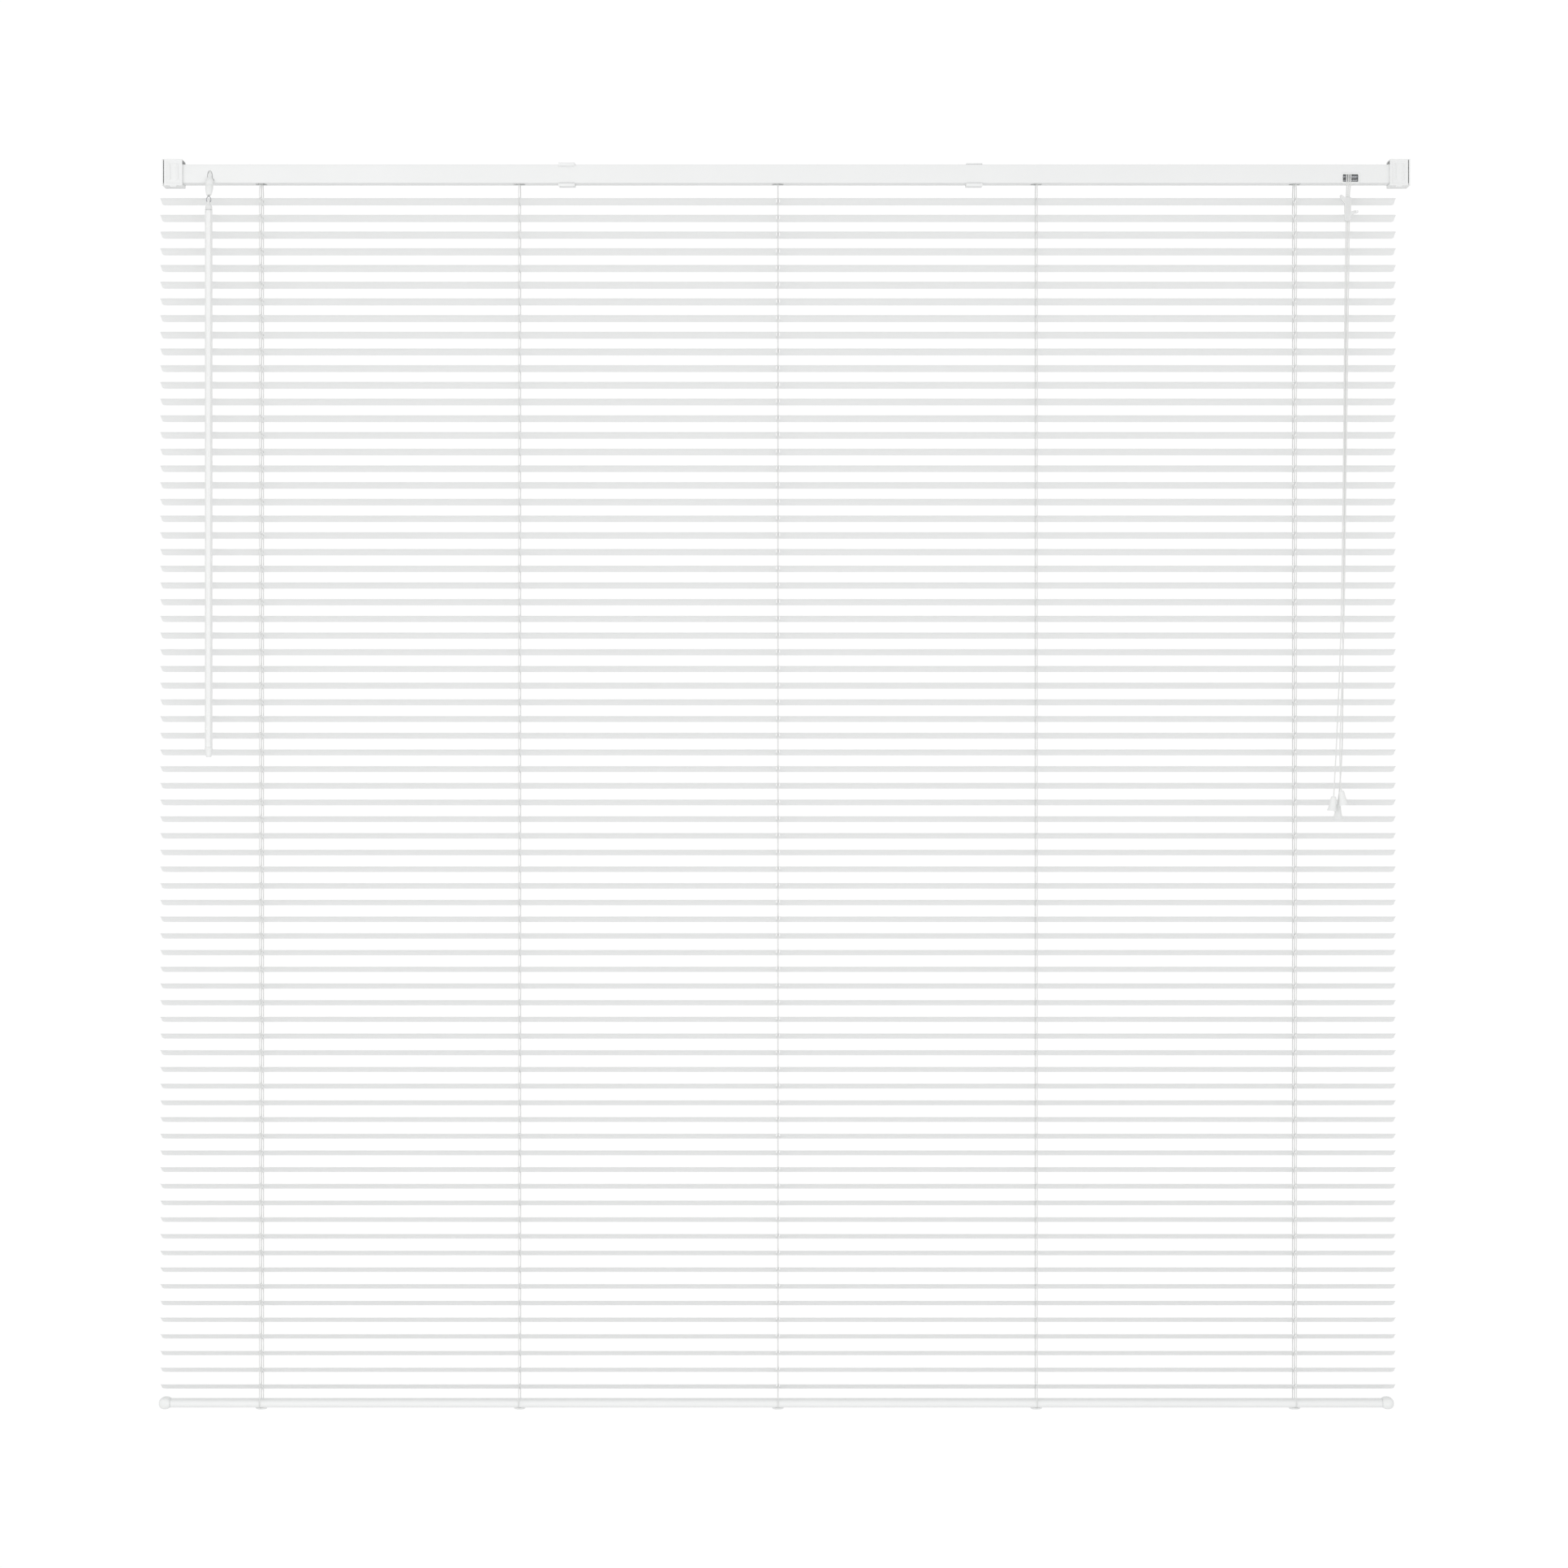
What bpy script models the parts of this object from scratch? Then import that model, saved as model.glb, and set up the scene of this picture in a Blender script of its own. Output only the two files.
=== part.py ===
"""Venetian blind, 1.6 m wide and 1.6 m deep, with 25 mm slats, a wand tilter and a cord lock.

Local frame of the blind: X along its width, -Y towards the room, +Z up, with X = 0 at the middle of
the headrail, Y = 0 at its mid-plane and Z = 0 at its top. An empty carries the whole blind, so that
the world origin is the middle of the wall face of the left box bracket.
"""

from math import cos, pi, radians, sin, sqrt

import bmesh
import bpy
from mathutils import Matrix, Vector
from mathutils.geometry import interpolate_bezier

MM = 0.001
GAP = 0.3 * MM  # between pieces that touch

# Headrail: a channel open at the top, with lips turned inwards.
RAIL_DEPTH = 25 * MM
RAIL_HEIGHT = 24 * MM
RAIL_WALL = 0.8 * MM
RAIL_LIP = 4 * MM
RAIL_HALF_LENGTH = 797 * MM
FRONT = -RAIL_DEPTH / 2
FLOOR = -RAIL_HEIGHT + RAIL_WALL  # the inner bottom of the channel

# Box brackets at both ends, with a hinged gate over the open front.
BRACKET_OUTER_X = 800 * MM
BRACKET_WIDTH = 26 * MM
BRACKET_WALL = 1.5 * MM
BRACKET_TOP = 6.5 * MM
BRACKET_BOTTOM = -27.5 * MM
BRACKET_FRONT = -14.6 * MM
WALL_PLANE = 16 * MM  # the plane of the wall that the brackets are screwed to
SCREW_HOLE_RADIUS = 2.2 * MM
GATE_THICKNESS = 1.3 * MM
GATE_BACK = BRACKET_FRONT - 0.5 * MM
GATE_PIVOT = Vector((0, GATE_BACK - GATE_THICKNESS / 2, BRACKET_TOP - 0.8 * MM))

# Support brackets that carry the headrail between its ends.
SUPPORT_WIDTH = 21 * MM
SUPPORT_X = (-281.5 * MM, 241.5 * MM)

# Slats and ladders.
SLAT_COUNT = 72
SLAT_PITCH = 21.45 * MM
SLAT_WIDTH = 25 * MM
SLAT_THICKNESS = 0.8 * MM
SLAT_LENGTH = 1586 * MM
SLAT_CORNER = 4 * MM
SLAT_TILTS = (radians(14), radians(20))  # top and bottom slat; the room edge stands higher
SECTION_COUNT = 6
SLATS_IN_SECTION = SLAT_COUNT // SECTION_COUNT
CURTAIN_X = -10.4 * MM  # the slats hang a little left of the headrail's middle
LADDER_SPACING = 332 * MM
LADDER_X = [CURTAIN_X + LADDER_SPACING * n for n in (-2, -1, 0, 1, 2)]
LIFT_CORD_X = [LADDER_X[0], LADDER_X[2], LADDER_X[4]]
LIFT_CORD_RADIUS = 0.8 * MM
LADDER_CORD_RADIUS = 0.6 * MM
LADDER_CORD_Y = 13.4 * MM

# Bottom rail.
BOTTOM_Z = -1590 * MM
BOTTOM_HALF_DEPTH = 12.5 * MM
BOTTOM_HALF_HEIGHT = 5.2 * MM
BOTTOM_WALL = 1.2 * MM
BOTTOM_X = -12.5 * MM
BOTTOM_LENGTH = 1585 * MM  # over both end caps
END_CAP_LENGTH = 14.6 * MM
PLUG_RADIUS = 7.5 * MM
PLUG_STEM_RADIUS = 3.5 * MM

# Tilt mechanism.
SHAFT_Z = -11 * MM
SHAFT_FLATS = 6 * MM
SHAFT_ENDS = (-766 * MM, 700 * MM)
DRUM_RADIUS = 8 * MM
DRUM_HALF_LENGTH = 7 * MM
JOURNAL_RADIUS = 4.5 * MM
JOURNAL_HALF_LENGTH = 12 * MM
TILTER_X = -739 * MM
GEAR_TEETH = 24
GEAR_RADIUS = 6 * MM
GEAR_TOOTH = 0.8 * MM
WORM_RADIUS = 3 * MM
WORM_LEAN = radians(25)  # the worm shaft leans out of the headrail's front
WORM_END_Z = -41 * MM
COLLAR_RADIUS = 5 * MM

# Wand.
WAND_PIVOT_Z = -49.5 * MM
WAND_TOP = -60.3 * MM
WAND_BOTTOM = -748 * MM
WAND_FLATS = 8.6 * MM
WAND_TIP_LENGTH = 12 * MM

# Cord lock, pull cords and what is on them.
LOCK_X = 724 * MM
LOCK_HALF_WIDTH = 19 * MM
LOCK_MOUTH_HALF_WIDTH = 11 * MM
LOCK_MOUTH_TOP = -12 * MM
ROLLER_RADIUS = 2.2 * MM
PULL_CORD_RADIUS = 0.8 * MM
TASSEL_HEIGHT = 19 * MM

# Each pull cord's route from the cord lock, through the cord joiner, to its tassel, in mm.
PULL_CORD_ROUTES = {
    "pull_cord_1": [
        (719.4, -10.9, -13.0), (719.3, -12.2, -20.0), (718.9, -15.2, -29.0), (718.0, -17.9, -38.0),
        (717.6, -18.5, -46.0), (717.6, -18.5, -57.0), (717.6, -18.5, -68.0), (717.5, -18.6, -78.0),
        (716.6, -19.3, -130.0), (715.0, -21.4, -250.0), (713.0, -24.4, -420.0), (709.6, -27.6, -600.0),
        (703.8, -30.4, -740.0), (700.8, -31.8, -795.0), (700.0, -32.0, -810.3),
    ],
    "pull_cord_2": [
        (722.0, -10.9, -13.0), (721.8, -12.2, -20.0), (721.0, -15.2, -29.0), (720.0, -17.9, -38.0),
        (719.6, -18.5, -46.0), (719.6, -18.5, -57.0), (719.6, -18.5, -68.0), (719.5, -18.5, -78.0),
        (718.7, -18.6, -130.0), (717.1, -18.9, -250.0), (715.4, -19.6, -420.0), (713.4, -20.4, -600.0),
        (712.3, -21.2, -740.0), (709.3, -21.5, -795.0), (706.7, -21.5, -820.3),
    ],
    "pull_cord_3": [
        (724.6, -10.9, -13.0), (724.3, -12.2, -20.0), (723.2, -15.2, -29.0), (722.0, -17.9, -38.0),
        (721.6, -18.5, -46.0), (721.6, -18.5, -57.0), (721.6, -18.5, -68.0), (721.5, -18.6, -78.0),
        (720.8, -19.4, -130.0), (718.9, -21.6, -250.0), (716.2, -24.8, -420.0), (713.2, -28.0, -600.0),
        (708.2, -30.8, -740.0), (708.4, -31.9, -787.0), (709.5, -32.0, -803.2),
    ],
}
TASSEL_LEAN = {"pull_cord_1": radians(7), "pull_cord_2": 0.0, "pull_cord_3": radians(-10)}
POINTS_PER_PULL_CORD = 26

# From the middle of the left box bracket's wall face to the blind's local origin.
ORIGIN_SHIFT = Vector(
    (BRACKET_OUTER_X - BRACKET_WIDTH / 2, -WALL_PLANE, -(BRACKET_TOP + BRACKET_BOTTOM) / 2)
)

WHITE_STEEL = ("white_steel", (0.86, 0.865, 0.86), 0.38, 0.0)
WHITE_RAIL = ("white_rail", (0.85, 0.86, 0.855), 0.4, 0.0)
WHITE_PLASTIC = ("white_plastic", (0.84, 0.85, 0.84), 0.45, 0.0)
WHITE_SLAT = ("white_slat", (0.83, 0.84, 0.835), 0.42, 0.0)
CLEAR_PLASTIC = ("clear_plastic", (0.86, 0.88, 0.86), 0.25, 0.0)
PLATED_STEEL = ("plated_steel", (0.62, 0.63, 0.64), 0.3, 1.0)
BRIGHT_STEEL = ("bright_steel", (0.55, 0.56, 0.57), 0.35, 1.0)
CORD_WHITE = ("cord_white", (0.85, 0.86, 0.84), 0.8, 0.0)


def clear_scene():
    for thing in list(bpy.data.objects):
        bpy.data.objects.remove(thing, do_unlink=True)


def material(finish):
    name, color, roughness, metallic = finish
    made = bpy.data.materials.get(name)
    if made is None:
        made = bpy.data.materials.new(name)
        made.use_nodes = True
        shader = made.node_tree.nodes["Principled BSDF"]
        shader.inputs["Base Color"].default_value = (*color, 1)
        shader.inputs["Roughness"].default_value = roughness
        shader.inputs["Metallic"].default_value = metallic
    return made


# ---- shapes, each a bmesh in the blind's local frame


def circle(radius, sides, center=(0, 0), turn=0.0):
    """Points of a regular polygon, in the plane of an outline."""
    step = 2 * pi / sides
    return [
        (center[0] + radius * cos(turn + step * n), center[1] + radius * sin(turn + step * n))
        for n in range(sides)
    ]


def hexagon(flats, center=(0, 0)):
    return circle(flats / sqrt(3), 6, center)


def rectangle(low, high):
    return [(low[0], low[1]), (high[0], low[1]), (high[0], high[1]), (low[0], high[1])]


def point_on(axis, along, outline_point):
    """A point `along` an axis, with an outline's two coordinates on the other two axes, in order."""
    a, b = outline_point
    return {"X": (along, a, b), "Y": (a, along, b), "Z": (a, b, along)}[axis]


def prism(outline, axis, low, high):
    """An outline carried along an axis."""
    shape = bmesh.new()
    ends = [[shape.verts.new(point_on(axis, at, p)) for p in outline] for at in (low, high)]
    count = len(outline)
    shape.faces.new(ends[0])
    shape.faces.new(ends[1])
    for n in range(count):
        after = (n + 1) % count
        shape.faces.new((ends[0][n], ends[0][after], ends[1][after], ends[1][n]))
    bmesh.ops.recalc_face_normals(shape, faces=shape.faces)
    return shape


def pipe(outer, inner, axis, low, high):
    """Two outlines with as many points each, carried along an axis, with the space inside left open."""
    shape = bmesh.new()
    rings = [
        [shape.verts.new(point_on(axis, at, p)) for p in outline]
        for outline, at in ((outer, low), (outer, high), (inner, high), (inner, low))
    ]
    count = len(outer)
    for first, second in zip(rings, rings[1:] + rings[:1]):
        for n in range(count):
            after = (n + 1) % count
            shape.faces.new((first[n], first[after], second[after], second[n]))
    bmesh.ops.recalc_face_normals(shape, faces=shape.faces)
    return shape


def turned(profile, sides, center=(0, 0)):
    """A turned solid about a vertical axis, from (radius, z) points that start and end on the axis or form
    a closed loop away from it."""
    shape = bmesh.new()
    rings = []
    for radius, z in profile:
        if radius == 0:
            rings.append([shape.verts.new((center[0], center[1], z))])
        else:
            rings.append([shape.verts.new((x, y, z)) for x, y in circle(radius, sides, center)])
    for first, second in zip(rings, rings[1:]):
        for n in range(sides):
            after = (n + 1) % sides
            corners = [first[n % len(first)], first[after % len(first)]]
            corners += [second[after % len(second)], second[n % len(second)]]
            shape.faces.new(list(dict.fromkeys(corners)))
    bmesh.ops.recalc_face_normals(shape, faces=shape.faces)
    return shape


def box(low, high):
    return prism(rectangle(low[:2], high[:2]), "Z", low[2], high[2])


def turn_shape(shape, matrix):
    bmesh.ops.transform(shape, matrix=matrix, verts=shape.verts)
    return shape


def add_object(name, shape, finish=None, pivot=(0, 0, 0)):
    """Makes an object with its origin at a pivot, carried by the blind's empty."""
    pivot = Vector(pivot)
    bmesh.ops.translate(shape, vec=-pivot, verts=shape.verts)
    mesh = bpy.data.meshes.new(name)
    shape.to_mesh(mesh)
    shape.free()
    made = bpy.data.objects.new(name, mesh)
    bpy.context.scene.collection.objects.link(made)
    made.parent = bpy.data.objects["blind_frame"]
    made.location = pivot
    if finish:
        mesh.materials.append(material(finish))
        mesh.shade_smooth()
        mesh.set_sharp_from_angle(angle=radians(32))
    return made


def combine(target, operation, name, shape):
    """Adds a shape to an object or cuts it away, with a Boolean modifier."""
    tool = add_object(name, shape)
    tool.hide_render = True
    tool.display_type = "WIRE"
    step = target.modifiers.new(name, "BOOLEAN")
    step.operation = operation
    step.object = tool


def cut(target, name, shape):
    combine(target, "DIFFERENCE", name, shape)


def join(target, name, shape):
    combine(target, "UNION", name, shape)


# ---- headrail and brackets


def worm_point(along):
    """A point on the leaning worm axis, `along` metres below the point nearest to the shaft."""
    reach = GEAR_RADIUS + WORM_RADIUS + GAP
    y = -reach * cos(WORM_LEAN) - along * sin(WORM_LEAN)
    z = SHAFT_Z + reach * sin(WORM_LEAN) - along * cos(WORM_LEAN)
    return Vector((TILTER_X, y, z))


def worm_length():
    """How far down the worm axis its collar ends."""
    return (worm_point(0).z - WORM_END_Z) / cos(WORM_LEAN)


def onto_worm_axis(shape):
    """Moves a shape made about the Z axis, with z = 0 at the mesh with the gear and -z down the shaft."""
    place = Matrix.Translation(worm_point(0)) @ Matrix.Rotation(-WORM_LEAN, 4, "X")
    return turn_shape(shape, place)


def make_headrail():
    lip_y = FRONT + RAIL_LIP
    wall_y = FRONT + RAIL_WALL
    half = [
        (FRONT, -RAIL_HEIGHT), (FRONT, 0), (lip_y, 0), (lip_y, -RAIL_WALL), (wall_y, -RAIL_WALL),
        (wall_y, FLOOR),
    ]
    outline = half + [(-y, z) for y, z in reversed(half)]
    headrail = add_object(
        "headrail", prism(outline, "X", -RAIL_HALF_LENGTH, RAIL_HALF_LENGTH), WHITE_STEEL
    )
    for number, x in enumerate(LADDER_X, 1):
        slot = box((x - 7 * MM, -10 * MM, -30 * MM), (x + 7 * MM, 10 * MM, FLOOR + 1 * MM))
        cut(headrail, f"ladder_slot_cutter_{number}", slot)
    narrow, wide, step = WORM_RADIUS + 0.4 * MM, COLLAR_RADIUS + 0.6 * MM, -12.4 * MM
    bore = turned(
        [(0, 0), (narrow, 0), (narrow, step), (wide, step), (wide, -30 * MM), (0, -30 * MM)], 16
    )
    cut(headrail, "tilter_hole_cutter", onto_worm_axis(bore))
    mouth = box(
        (LOCK_X - LOCK_MOUTH_HALF_WIDTH, -20 * MM, -30 * MM),
        (LOCK_X + LOCK_MOUTH_HALF_WIDTH, -6 * MM, LOCK_MOUTH_TOP),
    )
    cut(headrail, "lock_mouth_cutter", mouth)


def make_box_bracket(side, name):
    """side is -1 for the left bracket and 1 for the right one."""
    outer = side * BRACKET_OUTER_X
    inner = outer - side * BRACKET_WIDTH
    low_x, high_x = sorted((outer, inner))
    bracket = add_object(
        f"{name}_box_bracket",
        box((low_x, BRACKET_FRONT, BRACKET_BOTTOM), (high_x, WALL_PLANE, BRACKET_TOP)),
        WHITE_STEEL,
    )
    pocket_x = sorted((outer - side * BRACKET_WALL, inner - side * 5 * MM))
    pocket = box(
        (pocket_x[0], BRACKET_FRONT - 5 * MM, -RAIL_HEIGHT - GAP),
        (pocket_x[1], WALL_PLANE - BRACKET_WALL, BRACKET_TOP - BRACKET_WALL),
    )
    cut(bracket, f"{name}_pocket_cutter", pocket)
    middle = (outer + inner) / 2
    for number, y in enumerate((-7 * MM, 7 * MM), 1):
        hole = prism(circle(SCREW_HOLE_RADIUS, 12, (middle, y)), "Z", 0, 10 * MM)
        cut(bracket, f"{name}_ceiling_hole_cutter_{number}", hole)
    for number, z in enumerate((-3 * MM, -18 * MM), 1):
        hole = prism(circle(SCREW_HOLE_RADIUS, 12, (middle, z)), "Y", 10 * MM, 20 * MM)
        cut(bracket, f"{name}_wall_hole_cutter_{number}", hole)
    make_gate(name, low_x, high_x)


def make_gate(name, low_x, high_x):
    """A cover hinged along the top of a box bracket's open front, with a lip that snaps under it."""
    front = GATE_BACK - GATE_THICKNESS
    lip_top = BRACKET_BOTTOM - GAP
    outline = [
        (GATE_BACK, BRACKET_TOP), (front, BRACKET_TOP), (front, lip_top - 1.2 * MM),
        (GATE_BACK + 2.4 * MM, lip_top - 1.2 * MM), (GATE_BACK + 2.4 * MM, lip_top), (GATE_BACK, lip_top),
    ]
    pivot = GATE_PIVOT + Vector(((low_x + high_x) / 2, 0, 0))
    gate = add_object(f"{name}_bracket_gate", prism(outline, "X", low_x, high_x), WHITE_STEEL, pivot)
    for number, along in enumerate((0.28, 0.72), 1):
        x = low_x + (high_x - low_x) * along
        rib = box((x - 1 * MM, front - 0.8 * MM, -20 * MM), (x + 1 * MM, front + 0.5 * MM, 0))
        join(gate, f"{name}_gate_rib_{number}", rib)


def make_support_bracket(name, x, has_front_tab):
    """A steel strap round the headrail's back, top and bottom."""
    inner_back = WALL_PLANE - BRACKET_WALL
    top, underside = 2.3 * MM, -RAIL_HEIGHT - GAP
    bottom, toe = underside - 1.8 * MM, underside - 4.2 * MM
    if has_front_tab:
        tip = [(-14.8 * MM, top), (-14.8 * MM, -2.2 * MM), (-12.8 * MM, -2.2 * MM), (-12.8 * MM, GAP)]
    else:
        tip = [(-10 * MM, top), (-10 * MM, GAP)]
    outline = [(WALL_PLANE, top)] + tip + [
        (inner_back, GAP), (inner_back, underside), (-15 * MM, underside), (-15 * MM, toe),
        (-13.5 * MM, toe), (-13.5 * MM, bottom), (WALL_PLANE, bottom),
    ]
    low_x, high_x = x - SUPPORT_WIDTH / 2, x + SUPPORT_WIDTH / 2
    bracket = add_object(name, prism(outline, "X", low_x, high_x), WHITE_STEEL)
    for number, z in enumerate((-4 * MM, -19 * MM), 1):
        hole = prism(circle(SCREW_HOLE_RADIUS, 12, (x, z)), "Y", 10 * MM, 20 * MM)
        cut(bracket, f"{name}_hole_cutter_{number}", hole)


# ---- tilt mechanism


def make_shaft():
    pivot = (0, 0, SHAFT_Z)
    add_object("tilt_rod", prism(hexagon(SHAFT_FLATS, (0, SHAFT_Z)), "X", *SHAFT_ENDS), PLATED_STEEL, pivot)
    for number, x in enumerate(LADDER_X, 1):
        make_drum(number, x)
        make_cradle(number, x)


def lying(profile, sides, x):
    """A turned solid about the tilt shaft, from (radius, distance along X) points."""
    lie_down = Matrix.Translation((x, 0, SHAFT_Z)) @ Matrix.Rotation(pi / 2, 4, "Y")
    return turn_shape(turned(profile, sides), lie_down)


def hex_bore(x, half_length):
    return prism(hexagon(SHAFT_FLATS + 2 * GAP, (0, SHAFT_Z)), "X", x - half_length, x + half_length)


def make_drum(number, x):
    """A drum that the ladder's front and back cords hang from, keyed to the tilt rod."""
    flange = DRUM_RADIUS + 0.8 * MM
    inside_flange = DRUM_HALF_LENGTH - 1.2 * MM
    half = [
        (0, JOURNAL_HALF_LENGTH), (JOURNAL_RADIUS, JOURNAL_HALF_LENGTH), (JOURNAL_RADIUS, DRUM_HALF_LENGTH),
        (flange, DRUM_HALF_LENGTH), (flange, inside_flange), (DRUM_RADIUS, inside_flange),
    ]
    profile = half + [(radius, -along) for radius, along in reversed(half)]
    drum = add_object(f"tilt_drum_{number}", lying(profile, 16, x), WHITE_PLASTIC, (x, 0, SHAFT_Z))
    cut(drum, f"tilt_drum_bore_cutter_{number}", hex_bore(x, 20 * MM))


def make_cradle(number, x):
    """Two notched cheeks on a slotted base, clipped into the channel over the ladder slot."""
    half_x, half_y = 10.5 * MM, 10.8 * MM
    base, top = FLOOR + GAP, -4 * MM
    cradle = add_object(
        f"drum_cradle_{number}",
        box((x - half_x, -half_y, base), (x + half_x, half_y, top)),
        WHITE_PLASTIC,
    )
    bay = box((x - 8.2 * MM, -20 * MM, base + 1.4 * MM), (x + 8.2 * MM, 20 * MM, 0))
    cut(cradle, f"cradle_bay_cutter_{number}", bay)
    radius = JOURNAL_RADIUS + 2 * GAP
    arc = [(radius * cos(pi + pi * n / 8), SHAFT_Z + radius * sin(pi + pi * n / 8)) for n in range(9)]
    notch = prism(arc + [(radius, 5 * MM), (-radius, 5 * MM)], "X", x - 15 * MM, x + 15 * MM)
    cut(cradle, f"cradle_notch_cutter_{number}", notch)
    slot = box((x - 5 * MM, -8.5 * MM, -30 * MM), (x + 5 * MM, 8.5 * MM, base + 3 * MM))
    cut(cradle, f"cradle_slot_cutter_{number}", slot)


def make_tilter():
    base, top = FLOOR + GAP, -3 * MM
    housing = add_object(
        "tilter_housing",
        box((TILTER_X - 18 * MM, -11.3 * MM, base), (TILTER_X + 18 * MM, 11.3 * MM, top)),
        WHITE_PLASTIC,
    )
    gear_room = prism(
        circle(GEAR_RADIUS + 0.7 * MM, 20, (0, SHAFT_Z)), "X", TILTER_X - 30 * MM, TILTER_X + 30 * MM
    )
    cut(housing, "gear_room_cutter", gear_room)
    worm_room = turned(
        [
            (0, 12 * MM), (4 * MM, 12 * MM), (4 * MM, -9 * MM), (COLLAR_RADIUS + 0.6 * MM, -12 * MM),
            (COLLAR_RADIUS + 0.6 * MM, -40 * MM), (0, -40 * MM),
        ],
        16,
    )
    cut(housing, "worm_room_cutter", onto_worm_axis(worm_room))

    root = GEAR_RADIUS - GEAR_TOOTH
    outline = []
    for tooth in range(GEAR_TEETH):
        for share, radius in ((0.0, root), (0.3, GEAR_RADIUS), (0.6, GEAR_RADIUS), (0.9, root)):
            angle = 2 * pi * (tooth + share) / GEAR_TEETH
            outline.append((radius * cos(angle), SHAFT_Z + radius * sin(angle)))
    gear = add_object(
        "tilter_gear", prism(outline, "X", TILTER_X - 4 * MM, TILTER_X + 4 * MM), WHITE_PLASTIC,
        (TILTER_X, 0, SHAFT_Z),
    )
    cut(gear, "tilter_gear_bore_cutter", hex_bore(TILTER_X, 20 * MM))

    end = -worm_length()
    profile = [
        (0, 4.6 * MM), (2.2 * MM, 4.6 * MM), (WORM_RADIUS, 3.4 * MM), (WORM_RADIUS, -13 * MM),
        (COLLAR_RADIUS, -15 * MM),
        (COLLAR_RADIUS, end + 10 * MM), (3.4 * MM, end + 1 * MM), (2.6 * MM, end), (0, end),
    ]
    add_object("tilter_worm", onto_worm_axis(turned(profile, 16)), WHITE_PLASTIC, worm_point(0))


# ---- wand


def make_wand():
    x, y = TILTER_X, worm_point(worm_length()).y
    pivot = (x, y, WAND_PIVOT_Z)
    hook = add_object(
        "wand_hook",
        box((x - 1.6 * MM, y - 1.1 * MM, -43.6 * MM), (x + 3.2 * MM, y + 1.1 * MM, -42.2 * MM)),
        BRIGHT_STEEL,
        (x, y, 0),
    )
    arm = box((x + 1.8 * MM, y - 1.1 * MM, WAND_PIVOT_Z - 1.1 * MM), (x + 3.2 * MM, y + 1.1 * MM, -43 * MM))
    join(hook, "wand_hook_arm", arm)
    pin = prism(circle(1.0 * MM, 10, (y, WAND_PIVOT_Z)), "X", x - 3 * MM, x + 2.5 * MM)
    join(hook, "wand_hook_pin", pin)

    sleeve_profile = [
        (0, -51.5 * MM), (2.4 * MM, -52 * MM), (4.4 * MM, -55 * MM), (4.8 * MM, WAND_TOP + GAP),
        (0, WAND_TOP + GAP),
    ]
    sleeve = add_object("wand_sleeve", turned(sleeve_profile, 14, (x, y)), CLEAR_PLASTIC, pivot)
    eye_outline = circle(2.9 * MM, 12, (y, WAND_PIVOT_Z))
    eye = prism(eye_outline, "X", x - 1.5 * MM, x + 1.5 * MM)
    join(sleeve, "wand_eye", eye)
    neck = box((x - 1.5 * MM, y - 2.2 * MM, -54 * MM), (x + 1.5 * MM, y + 2.2 * MM, -51 * MM))
    join(sleeve, "wand_neck", neck)
    hole = prism(circle(1.4 * MM, 12, (y, WAND_PIVOT_Z)), "X", x - 5 * MM, x + 5 * MM)
    cut(sleeve, "wand_eye_cutter", hole)

    add_object("wand", prism(hexagon(WAND_FLATS, (x, y)), "Z", WAND_BOTTOM, WAND_TOP), CLEAR_PLASTIC, pivot)
    tip_top = WAND_BOTTOM - GAP
    tip_profile = [
        (0, tip_top), (5 * MM, tip_top), (5 * MM, tip_top - 3 * MM), (3.4 * MM, tip_top - WAND_TIP_LENGTH),
        (0, tip_top - WAND_TIP_LENGTH),
    ]
    add_object("wand_tip", turned(tip_profile, 14, (x, y)), CLEAR_PLASTIC, pivot)


# ---- cord lock, pull cords, joiner and tassels


def make_cord_lock():
    base, top = FLOOR + GAP, -4 * MM
    housing = add_object(
        "cord_lock_housing",
        box((LOCK_X - LOCK_HALF_WIDTH, -11.3 * MM, base), (LOCK_X + LOCK_HALF_WIDTH, 11.3 * MM, top)),
        WHITE_PLASTIC,
    )
    mouth_half = LOCK_MOUTH_HALF_WIDTH - 0.6 * MM
    mouth = box(
        (LOCK_X - mouth_half, -20 * MM, -30 * MM), (LOCK_X + mouth_half, 0, LOCK_MOUTH_TOP + 2.5 * MM)
    )
    cut(housing, "cord_lock_mouth_cutter", mouth)
    channel = box((LOCK_X - 4 * MM, -1 * MM, -16 * MM), (LOCK_X + 4 * MM, 20 * MM, 0))
    cut(housing, "cord_lock_channel_cutter", channel)
    place, reach = (-7 * MM, -15 * MM), mouth_half - 0.8 * MM
    roller = prism(circle(ROLLER_RADIUS, 14, place), "X", LOCK_X - reach, LOCK_X + reach)
    add_object("cord_lock_roller", roller, BRIGHT_STEEL, (LOCK_X, *place))


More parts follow.
